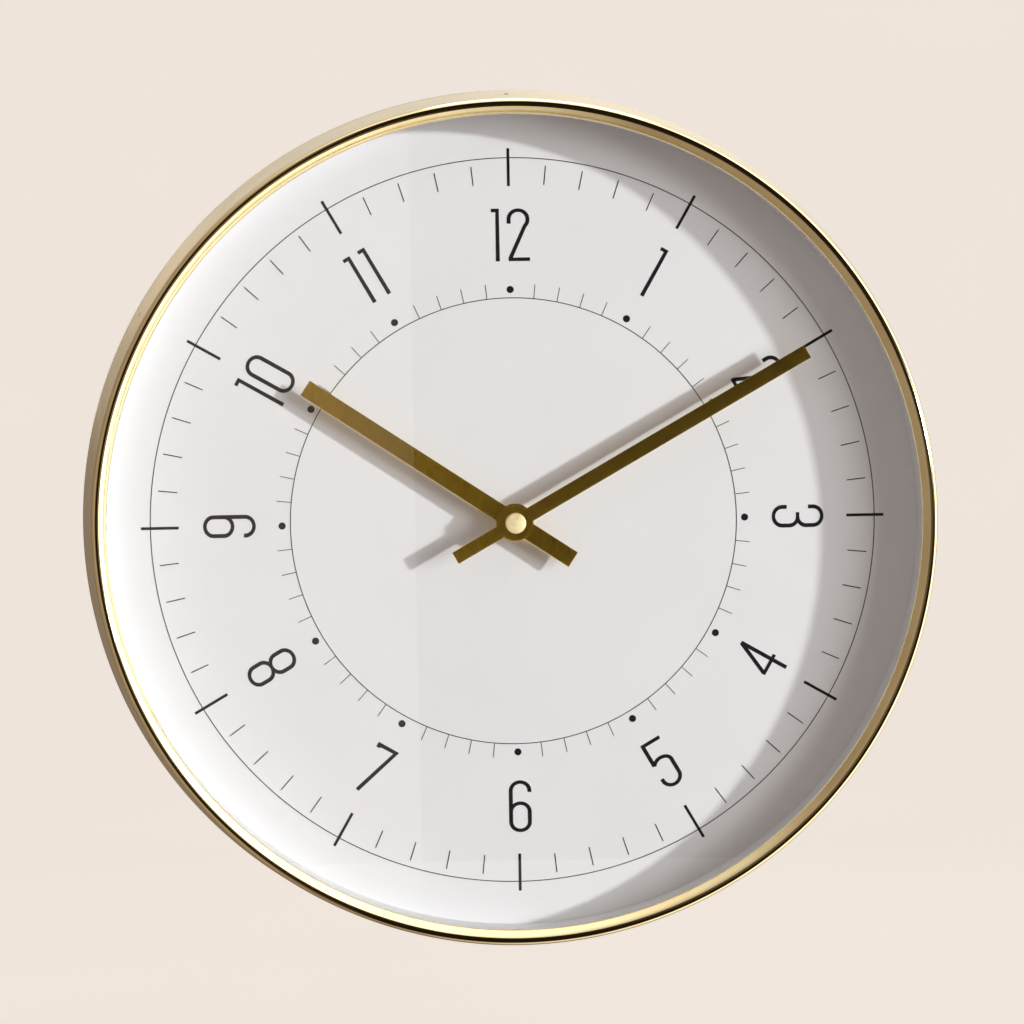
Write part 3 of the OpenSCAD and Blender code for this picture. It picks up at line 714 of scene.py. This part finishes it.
def plate(shape, verts, tris, front_y, back_y, place):
    """Makes a flat sheet into a closed plate between two depths."""
    front = [shape.verts.new((*place(v, front_y),)) for v in verts]
    faces = [shape.faces.new([front[i] for i in t]) for t in tris]
    bmesh.ops.dissolve_limit(
        shape, angle_limit=FLAT_TURN,
        verts=list(dict.fromkeys(v for f in faces for v in f.verts)),
        edges=list(dict.fromkeys(e for f in faces for e in f.edges)))
    loose = [v for v in front if v.is_valid and not v.link_faces]
    bmesh.ops.delete(shape, geom=loose, context="VERTS")
    flats = list(shape.faces)
    sides = [(loop.link_loop_next.vert, loop.vert) for face in flats
             for loop in face.loops if loop.edge.is_boundary]
    back = {v: shape.verts.new((v.co.x, back_y, v.co.z))
            for v in front if v.is_valid}
    for face in flats:
        shape.faces.new([back[v] for v in reversed(face.verts)])
    for a, b in sides:
        shape.faces.new((a, b, back[b], back[a]))


# ------------------------------------------------------------------ numerals

# limits of the pen, in millimetres and square millimetres
SAME_POINT = 1e-4
NO_AREA = 1e-5
SHARPEST_MITRE = 0.35


def pen_strip(path, half_x, half_y, closed=False):
    """Triangles swept along a path by an oval pen, flat at both ends."""
    path = [p for i, p in enumerate(path) if (i == 0 and not closed)
            or math.dist(p, path[i - 1]) > SAME_POINT]
    count = len(path)
    sides = []
    for i, point in enumerate(path):
        before = path[i - 1] if i or closed else None
        after = path[(i + 1) % count] if i < count - 1 or closed else None
        ways = [(Vector(b) - Vector(a)).normalized()
                for a, b in ((before, point), (point, after))
                if a is not None and b is not None]
        way = sum(ways, Vector((0, 0))).normalized()
        normal = Vector((-way.y, way.x))
        along = ways[0]
        across = Vector((-along.y, along.x))
        reach = math.hypot(half_x * across.x, half_y * across.y)
        offset = normal * (reach / max(SHARPEST_MITRE, normal.dot(across)))
        sides.append((Vector(point) + offset, Vector(point) - offset))
    triangles = []
    for i in range(count if closed else count - 1):
        (a, d), (b, c) = sides[i], sides[(i + 1) % count]
        for corners in ((a, b, c), (a, c, d)):
            (x0, y0), (x1, y1), (x2, y2) = corners
            area = (x1 - x0) * (y2 - y0) - (x2 - x0) * (y1 - y0)
            if abs(area) > NO_AREA:
                triangles.append(corners if area > 0 else corners[::-1])
    return triangles


def numeral_paths(digit, height, up, level):
    """Centre lines of one digit in millimetres, with its width.

    The left edge is at x = 0 and the foot at y = 0. Each path is a list of
    points and whether it closes.
    """
    h, u, v = height, up / 2, level / 2
    w = 8.0                   # width of a full digit
    cap_y, loop_y = 3.1, 3.0  # heights of its end curves and of its loops
    left, right, foot, top = u, w - u, v, h - v

    def corner(cx, cy, rx, ry, start, end, count=10):
        return oval((cx, cy), rx, ry, start, end, count)

    def box_loop(x0, x1, y0, y1, rx, ry):
        return (corner(x1 - rx, y1 - ry, rx, ry, 0, 90)
                + corner(x0 + rx, y1 - ry, rx, ry, 90, 180)
                + corner(x0 + rx, y0 + ry, rx, ry, 180, 270)
                + corner(x1 - rx, y0 + ry, rx, ry, 270, 360))

    middle = (left + right) / 2
    rx = (right - left) / 2

    def half_turn(y, end_y, start, end):
        """Half an oval across the whole digit."""
        return oval((middle, y), rx, end_y, start, end, 20)

    if digit == "0":
        return [(box_loop(left, right, foot, top, rx, cap_y), True)], w
    if digit == "1":
        stem = 1.5 + u
        path = [(0.0, top), (stem, top), (stem, 0.0)]
        return [(path, False)], 1.5 + up
    if digit == "2":
        hook = ([(left, 13.1)]
                + half_turn(top - cap_y, cap_y, 180, 0)
                + corner(right - 4.2, top - 3.4, 4.2, 3.3, -4, -40, 6)
                + [(left + 0.25, foot)])
        return [(hook, False), ([(left - 0.2, foot), (w, foot)], False)], w
    if digit == "3":
        waist, waist_x = h / 2, 0.33 * w
        upper = ([(left, top - 4.85)]
                 + half_turn(top - cap_y, cap_y, 180, 0)
                 + corner(right - loop_y, waist + loop_y, loop_y, loop_y,
                          0, -90)
                 + [(waist_x, waist)])
        lower = ([(waist_x, waist)]
                 + corner(right - loop_y, waist - loop_y, loop_y, loop_y,
                          90, 0)
                 + half_turn(foot + cap_y, cap_y, 0, -180)
                 + [(left, foot + 4.75)])
        return [(upper, False), (lower, False)], w
    if digit == "4":
        stem, bar = 6.1, 5.9
        return [([(stem, h), (stem, 0.0)], False),
                ([(w, bar), (0.0, bar)], False),
                ([(stem - 0.05, h - 0.1), (0.42, bar)], False)], w
    if digit == "5":
        bowl_top, bowl_y = h - 6.5 - v, 2.4
        return [([(w - 0.4, top), (left - 0.02, top)], False),
                ([(left, h), (left, h - 8.8)], False),
                ([(left, bowl_top - 0.9)]
                 + corner(middle, bowl_top - bowl_y, rx, bowl_y, 150, 0, 14)
                 + half_turn(foot + cap_y, cap_y, 0, -180)
                 + [(left, 4.4)], False)], w
    if digit in "69":
        bowl = 10.9 - v
        paths = [([(right - 0.05, h - 4.2)]
                  + half_turn(top - cap_y, cap_y, 0, 180)
                  + [(left, 5.0)], False),
                 (box_loop(left, right, foot, bowl, rx, loop_y), True)]
        if digit == "9":
            paths = [([(w - x, h - y) for x, y in path], closed)
                     for path, closed in paths]
        return paths, w
    if digit == "7":
        return [([(left - 0.05, h - 1.8), (left - 0.05, top),
                  (7.3, top), (1.4, 0.0)], False)], w
    waist = h / 2
    return [(box_loop(left, right, waist, top, rx, loop_y), True),
            (box_loop(left, right, foot, waist, rx, loop_y), True)], w


# between the digits of a number, in millimetres
PAIR_GAPS = {"10": 2.5, "11": 3.0, "12": 2.6}
# numbers that are turned so that they aren't upside down
TOPS_INWARD = (4, 5, 6, 7, 8)
# how far a number stands clockwise of and outside its place, in millimetres
PLAIN_SHIFT = (0.0, -0.3)
SHIFTS = {4: (0.7, -0.2), 5: (-1.2, 0.0), 6: (-0.5, 0.2), 8: (0.0, -1.2),
          9: (0.2, -0.7), 10: (1.2, -0.7), 12: (0.4, 0.0)}


def numeral_outlines(text, settings):
    """Closed strips of a whole number, centred on the origin, in metres."""
    up = settings.upright_stroke / MM
    level = settings.level_stroke / MM
    height = settings.numeral_height / MM
    gap = PAIR_GAPS.get(text, 0.0)
    strips, pen = [], 0.0
    for digit in text:
        paths, width = numeral_paths(digit, height, up, level)
        for path, closed in paths:
            for corners in pen_strip(path, up / 2, level / 2, closed):
                strips.append([(p.x + pen, p.y) for p in corners])
        pen += width + gap
    total = pen - gap
    return [[((x - total / 2) * MM, (y - height / 2) * MM) for x, y in strip]
            for strip in strips]


# --------------------------------------------------------------------- hands

HAND_SHEET = 0.7 * MM
# reach, tail, width, width of the tail and eye of each hand, in millimetres
HOUR_SIZES = (87.0, 24.3, 6.1, 6.1, 13.2)
MINUTE_SIZES = (118.3, 24.3, 5.0, 4.5, 12.3)


def hand_outline(reach, tail, width, tail_width, eye, steps=72):
    """Outlines of a flat hand that points up, in metres."""
    return [
        [(-width / 2, 0.0), (width / 2, 0.0),
         (width / 2, reach), (-width / 2, reach)],
        [(-tail_width / 2, -tail), (tail_width / 2, -tail),
         (tail_width / 2, 0.0), (-tail_width / 2, 0.0)],
        arc((0, 0), eye / 2, 0, 360 - 360 / steps, steps - 1),
    ]


def build_hand(name, node, angle, sizes, bore, material, edge):
    """One hand on the CAD hand's own levels, with its collar."""
    low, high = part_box(node)
    front_y, back_y = low.y, low.y + HAND_SHEET
    collar_y, collar_r = back_y - 0.2 * MM, bore + 1.1 * MM
    turn = Matrix.Rotation(-angle, 2)
    shape = bmesh.new()
    verts, tris = flat_sheet(
        hand_outline(*sizes), [arc((0, 0), bore, 0, 355, 71)])

    def place(point, y):
        x, z = turn @ Vector(point)
        return x, y, z

    plate(shape, verts, tris, front_y, back_y, place)
    turned(shape, [(bore, collar_y), (collar_r, collar_y),
                   (collar_r, high.y), (bore, high.y)], 72)
    piece = new_piece(name, finished(shape, name), material)
    bevel = piece.modifiers.new("edge", "BEVEL")
    bevel.width = edge
    bevel.segments = 2
    bevel.limit_method = "ANGLE"
    bevel.angle_limit = math.radians(50)
    bevel.harden_normals = True
    return piece


# ----------------------------------------------------------------- operators

def paint(slot_materials):
    """Gives CAD nodes their finishes."""
    for node, material in slot_materials.items():
        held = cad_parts[node]
        if not held.material_slots:
            held.data.materials.append(material)
        for slot in held.material_slots:
            slot.material = material


class CLOCK_OT_case(Operator):
    """Turn the plated case and the white ring, and set the glass in"""

    bl_idname = "clock.case"
    bl_label = "Case and glass"

    def execute(self, context):
        case = context.scene.clock_case
        depth = WALL_Y - CASE_LOW.y
        lip_r = BACK_R - case.flare
        bead_r = case.lip_width / 2
        bead_z = depth - bead_r
        slope = (BACK_R - lip_r + 0.4 * MM) / bead_z
        inner_r = lip_r - case.lip_width
        seat_r = inner_r + 2.2 * MM
        under_lip = bead_z - MM
        skin_z, step_z = 15.4 * MM, 27.4 * MM
        step_r = seat_r + 1.8 * MM
        inside_r = BACK_R - slope * skin_z - case.wall

        profile = [(BACK_R - 0.5 * MM, 0.0), (BACK_R - 0.15 * MM, 0.12 * MM),
                   (BACK_R - slope * 0.5 * MM, 0.5 * MM)]
        profile += [(BACK_R - slope * z * MM, z * MM)
                    for z in (4, 10, 16, 22, 28, 34, 37, 38.1)]
        crest_r = lip_r - bead_r + 0.2 * MM
        profile += oval((crest_r, bead_z), bead_r - 0.05 * MM, bead_r,
                        -20, 90, 30)
        turn_r = 0.45 * MM
        profile += arc((crest_r, depth - turn_r), turn_r, 90, 136, 8)[1:]
        profile += [(inner_r + 0.34 * MM, depth - 2.3 * MM),
                    (inner_r + 0.1 * MM, depth - 2.6 * MM),
                    (inner_r, depth - 2.95 * MM),
                    (inner_r + 0.2 * MM, under_lip)]
        profile += [(seat_r, under_lip), (seat_r, skin_z),
                    (step_r, skin_z), (step_r, step_z),
                    (inside_r - 0.2 * MM, skin_z), (inside_r, skin_z),
                    (BACK_R - case.wall, 0.0)]
        shape = bmesh.new()
        turned(shape, [(r, WALL_Y - z) for r, z in profile], case.steps)
        reach = seat_r + 3.3 * MM
        bore, post = 1.5 * MM, 3.2 * MM
        back_y, front_y = WALL_Y - 3.4 * MM, WALL_Y - 16.0 * MM
        for i in range(6):
            angle = math.radians(60 * i + 30)
            centre = (reach * math.cos(angle), reach * math.sin(angle))
            turned(shape, [(bore, back_y), (post, back_y),
                           (post, front_y), (bore, front_y)], 40, centre)
        shell = new_piece("case_turned", finished(shape, "case_turned"),
                          polished_gold("case_gold", tuple(case.gold)), 32)
        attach(shell, "clock_body")
        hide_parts("case_shell")

        low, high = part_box("inner_ring")
        outer = high.x
        middle_y = (high.y + low.y) / 2
        shape = bmesh.new()
        turned(shape, [(142.4 * MM, high.y), (142.1 * MM, middle_y),
                       (141.8 * MM, low.y + 0.15 * MM),
                       (141.95 * MM, low.y), (outer, low.y),
                       (outer, high.y)], case.steps)
        ring = new_piece("white_ring", finished(shape, "white_ring"),
                         moulded_plastic("ring_white", (0.70, 0.70, 0.70),
                                         0.42, 2400.0, 0.000004, 0.01), 30)
        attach(ring, "clock_body")
        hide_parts("inner_ring")

        paint({"glass_lens": clear_glass("lens_glass"),
               "glass_gasket": rubber("gasket_rubber", (0.70, 0.70, 0.68))})
        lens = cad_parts["glass_lens"]
        lens.visible_shadow = False
        lens.visible_diffuse = False
        return {"FINISHED"}


class CLOCK_OT_dial(Operator):
    """Paint the dial and print the circles, marks and numbers on it"""

    bl_idname = "clock.dial"
    bl_label = "Dial"

    def execute(self, context):
        dial = context.scene.clock_dial
        ink = printing_ink("dial_ink", tuple(dial.ink))
        paint({"dial_plate": dial_paint("dial_white", tuple(dial.white)),
               "dial_print": ink})
        shape = bmesh.new()
        for hour in range(1, 13):
            angle = math.radians(30 * hour)
            outward = Vector((math.sin(angle), math.cos(angle)))
            clockwise = Vector((math.cos(angle), -math.sin(angle)))
            aside, beyond = SHIFTS.get(hour, PLAIN_SHIFT)
            centre = (outward * (dial.numeral_circle + beyond * MM)
                      + clockwise * (aside * MM))
            sense = -1 if hour in TOPS_INWARD else 1

            def place(point, y):
                at = (centre + clockwise * (sense * point[0])
                      + outward * (sense * point[1]))
                return at.x, y, at.y

            verts, tris = flat_sheet(numeral_outlines(str(hour), dial))
            part = bmesh.new()
            plate(part, verts, tris, INK_Y, DIAL_Y, place)
            held = finished(part, "numeral")
            shape.from_mesh(held)
            bpy.data.meshes.remove(held)
        numbers = new_piece("dial_numerals", finished(shape, "dial_numerals"),
                            ink, 30)
        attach(numbers, "clock_body")
        return {"FINISHED"}


class CLOCK_OT_hands(Operator):
    """Cut the two brushed hands and turn the cap that holds them"""

    bl_idname = "clock.hands"
    bl_label = "Hands"

    def execute(self, context):
        hands = context.scene.clock_hands
        gold = tuple(hands.gold)
        hour = build_hand(
            "hour_hand_sheet", "hour_hand", hands.hour_angle,
            [s * MM for s in HOUR_SIZES], 2.5 * MM,
            brushed_gold("hour_gold", gold, hands.hour_angle), hands.edge)
        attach(hour, "hour_hand_body")
        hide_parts("hour_hand")
        minute = build_hand(
            "minute_hand_sheet", "minute_hand", hands.minute_angle,
            [s * MM for s in MINUTE_SIZES], 1.4 * MM,
            brushed_gold("minute_gold", gold, hands.minute_angle), hands.edge)
        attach(minute, "minute_hand_body")
        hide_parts("minute_hand")

        low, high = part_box("hand_cap")
        radius = high.x
        shape = bmesh.new()
        ball = 7.0 * radius
        edge, nick = 0.25 * MM, 0.05 * MM

        def dome_y(r):
            return low.y + ball - (ball ** 2 - r ** 2) ** 0.5

        rim_y = dome_y(radius - edge)
        profile = [(0.0, low.y)]
        profile += [(r * MM, dome_y(r * MM))
                    for r in (0.4, 0.9, 1.4, 1.9, 2.4, 2.8, 3.1)]
        profile += [(radius - edge, rim_y),
                    (radius - 0.07 * MM, rim_y + 0.07 * MM),
                    (radius, rim_y + edge), (radius, high.y - nick),
                    (radius - nick, high.y), (1.0 * MM, high.y),
                    (0.0, high.y)]
        dome(shape, profile, 96)
        cap = new_piece("cap_dome", finished(shape, "cap_dome"),
                        satin_brass("cap_gold", (0.93, 0.80, 0.50), 0.5), 30)
        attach(cap, "minute_hand_body")
        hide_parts("hand_cap")
        paint({"dial_washer": satin_brass("washer_brass", (0.80, 0.60, 0.30)),
               "dial_nut": satin_brass("nut_brass", (0.80, 0.62, 0.32), 0.25)})
        return {"FINISHED"}


class CLOCK_OT_back(Operator):
    """Finish the board, the back cover, its screws and the hanger"""

    bl_idname = "clock.back"
    bl_label = "Back"

    def execute(self, context):
        steel = plated_steel("hanger_steel")
        paint({"dial_board": wood_board("board_fibre"),
               "back_cover": moulded_plastic(
                   "cover_black", (0.028, 0.028, 0.030), 0.46, 1500.0),
               "back_cover_screws": plated_steel(
                   "screw_steel", (0.50, 0.49, 0.46), 0.26),
               "hanger_plate": steel, "hanger_rivets": steel,
               "soft_washer": rubber("washer_rubber", (0.03, 0.03, 0.032))})
        return {"FINISHED"}


class CLOCK_OT_movement(Operator):
    """Finish the quartz movement, its wheels, its coil and its cell"""

    bl_idname = "clock.movement"
    bl_label = "Movement"

    def execute(self, context):
        black = moulded_plastic("housing_black", (0.030, 0.030, 0.033),
                                0.42, 2100.0, 0.000010)
        grey = moulded_plastic("plate_grey", (0.24, 0.25, 0.27), 0.45,
                               2300.0, 0.000006)
        white = moulded_plastic("wheel_white", (0.74, 0.74, 0.70), 0.38,
                                3000.0, 0.000003, 0.02)
        brass = satin_brass("movement_brass", (0.78, 0.58, 0.28))
        iron = annealed_iron("core_iron")
        steel = plated_steel("contact_steel", (0.64, 0.64, 0.62), 0.22)
        paint({
            "front_housing": black, "back_housing": black,
            "mid_plate": grey, "circuit_board": circuit_resin("board_green"),
            "quartz_crystal": drawn_can("crystal_can"),
            "coil_bobbin": grey, "coil_winding": wound_copper("coil_copper"),
            "coil_core": iron, "stator_plate": iron,
            "rotor": sintered_magnet("rotor_magnet"),
            "intermediate_wheel": white, "second_wheel": white,
            "third_wheel": white, "centre_wheel": white,
            "clutch_spring": steel, "minute_shaft": brass,
            "minute_wheel": white, "hour_wheel": white,
            "setting_knob": moulded_plastic(
                "knob_white", (0.78, 0.78, 0.76), 0.40, 2400.0, 0.000005,
                0.02),
            "battery_cell": cell_jacket("cell_film"),
            "contact_plus": steel, "contact_minus": steel})
        return {"FINISHED"}


# name, place, aim, side, watts and colour; mirrors don't see the last two
SOFT_BOXES = (
    ("top_box", (0.2, 1.0, 1.7), (0, 0.1, 0), 0.9, 14, (1.0, 0.98, 0.95)),
    ("back_box", (-1.5, 2.0, 0.9), (0, 0, 0), 1.0, 30, (1.0, 0.98, 0.96)),
    ("side_box", (1.16, -1.09, 0.17), (0, 0, 0), 0.62, 9.5,
     (0.97, 0.985, 1.0)),
    ("left_box", (-0.75, -0.9, 0.75), (-0.1, 0, 0.1), 0.7, 1.3,
     (0.95, 0.98, 1.0)),
)


def soft_lamp(name, centre, aim, size, watts, colour):
    """A square soft box that the camera doesn't see."""
    lamp = bpy.data.lights.new(name, "AREA")
    lamp.shape = "SQUARE"
    lamp.size = size
    lamp.energy = watts
    lamp.color = colour
    held = linked(name, lamp)
    held.location = centre
    held.rotation_euler = (Vector(aim) - Vector(centre)).to_track_quat(
        "-Z", "Y").to_euler()
    held.visible_camera = False
    return held


class CLOCK_OT_stage(Operator):
    """Lay the pale floor and backdrop, set the lamps and aim the camera"""

    bl_idname = "clock.stage"
    bl_label = "Stage"

    def execute(self, context):
        stage = context.scene.clock_stage
        scene = context.scene
        scene.view_settings.view_transform = "Standard"
        self.backdrop(stage.floor_height)
        self.light(scene, stage)
        self.camera(scene, stage)
        return {"FINISHED"}

    def backdrop(self, floor):
        """One round sweep of floor, wall and ceiling."""
        across, cove, ceiling = 3.2, 0.8, 1.8
        profile = [(0.0, floor), (0.8, floor), (1.6, floor), (2.3, floor)]
        profile += arc((across - cove, floor + cove), cove, -85, 0, 14)
        profile += [(across, 1.2), (across, ceiling)]
        profile += arc((0, ceiling), across, 12, 84, 12)
        profile += [(0.0, ceiling + across)]
        shape = bmesh.new()
        dome(shape, profile, 96)
        mesh = finished(shape, "studio_sweep")
        mesh.transform(Matrix.Rotation(math.radians(90), 4, "X"))
        mesh.shade_smooth()
        mesh.materials.append(
            plaster("stage_paint", (0.84, 0.80, 0.745), 0.72))
        sweep = linked("studio_sweep", mesh)
        sweep.visible_diffuse = False
        sweep.visible_glossy = False
        sweep.visible_shadow = False
        sweep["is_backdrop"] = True

    def light(self, scene, stage):
        """Even fill, a low sun from the right and soft boxes behind."""
        world = bpy.data.worlds.new("studio_fill")
        world.use_nodes = True
        ground = world.node_tree.nodes["Background"]
        ground.inputs["Color"].default_value = (1.0, 0.84, 0.77, 1.0)
        ground.inputs["Strength"].default_value = stage.fill
        scene.world = world

        sun = bpy.data.lights.new("key_sun", "SUN")
        sun.energy = stage.key
        sun.angle = math.radians(3.0)
        sun.color = (0.96, 0.985, 1.0)
        held = linked("key_sun", sun)
        above = math.radians(31)
        lean = math.radians(8.5)
        towards = Vector((math.cos(above) * math.cos(lean), -math.sin(above),
                          math.cos(above) * math.sin(lean)))
        held.rotation_euler = towards.to_track_quat("Z", "Y").to_euler()
        lamps = [held] + [soft_lamp(*box) for box in SOFT_BOXES]
        for lamp in lamps[-2:]:
            lamp.visible_glossy = False
        receivers = bpy.data.collections.new("lit_pieces")
        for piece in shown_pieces():
            receivers.objects.link(piece)
        for lamp in lamps:
            lamp.light_linking.receiver_collection = receivers

        # a glowing shell round the stage that only mirrors see: painted
        # reflections on the metal and glass; diffuse surfaces and shadows don't
        # see it
        radius = 2.2
        shape = bmesh.new()
        dome(shape, arc((0, 0), radius, 90, -90, 24), 48)
        mesh = finished(shape, "painted_reflection_shell")
        mesh.materials.append(tent_cloth("tent_cloth", radius))
        reflection_shell = linked("painted_reflection_shell", mesh)
        reflection_shell.visible_camera = False
        reflection_shell.visible_diffuse = False
        reflection_shell.visible_shadow = False
        reflection_shell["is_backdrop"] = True

    def camera(self, scene, stage):
        """The camera, a little above and to the left, leaning a little."""
        data = bpy.data.cameras.new("front_camera")
        data.sensor_width = 36.0
        data.lens = stage.lens
        data.clip_start = 0.05
        data.clip_end = 20.0
        held = linked("front_camera", data)
        az, el = stage.azimuth, stage.elevation
        back = Vector((math.sin(az) * math.cos(el),
                       -math.cos(az) * math.cos(el), math.sin(el)))
        right = Vector((0, 0, 1)).cross(back).normalized()
        up = back.cross(right)
        turn = Matrix((right, up, back)).transposed()
        turn = (turn @ Matrix.Rotation(-stage.roll, 3, "Z")
                @ Matrix.Rotation(-stage.aim_right, 3, "Y")
                @ Matrix.Rotation(stage.aim_up, 3, "X"))
        at = Vector((0, DIAL_Y, 0)) + back * stage.distance
        held.matrix_world = Matrix.Translation(at) @ turn.to_4x4()
        scene.camera = held


class CLOCK_PT_panel(Panel):
    """Lists the clock's steps and its main settings"""

    bl_idname = "CLOCK_PT_panel"
    bl_label = "Wall clock"
    bl_space_type = "VIEW_3D"
    bl_region_type = "UI"
    bl_category = "Clock"

    def draw(self, context):
        layout = self.layout
        for step in STEPS:
            layout.operator(step.bl_idname)
        for group in SETTINGS:
            held = getattr(context.scene, group)
            box = layout.box()
            for name in held.__annotations__:
                box.prop(held, name)


SETTINGS = {"clock_case": CaseSettings, "clock_dial": DialSettings,
            "clock_hands": HandSettings, "clock_stage": StageSettings}
STEPS = (CLOCK_OT_case, CLOCK_OT_dial, CLOCK_OT_hands, CLOCK_OT_back,
         CLOCK_OT_movement, CLOCK_OT_stage)
CLASSES = (*SETTINGS.values(), *STEPS, CLOCK_PT_panel)


def register():
    for made in CLASSES:
        bpy.utils.register_class(made)
    for name, group in SETTINGS.items():
        setattr(bpy.types.Scene, name, PointerProperty(type=group))


def unregister():
    for name in SETTINGS:
        delattr(bpy.types.Scene, name)
    for made in reversed(CLASSES):
        bpy.utils.unregister_class(made)


def main():
    register()
    bpy.ops.clock.case()
    bpy.ops.clock.dial()
    bpy.ops.clock.hands()
    bpy.ops.clock.back()
    bpy.ops.clock.movement()
    bpy.ops.clock.stage()


if __name__ == "__main__":
    main()
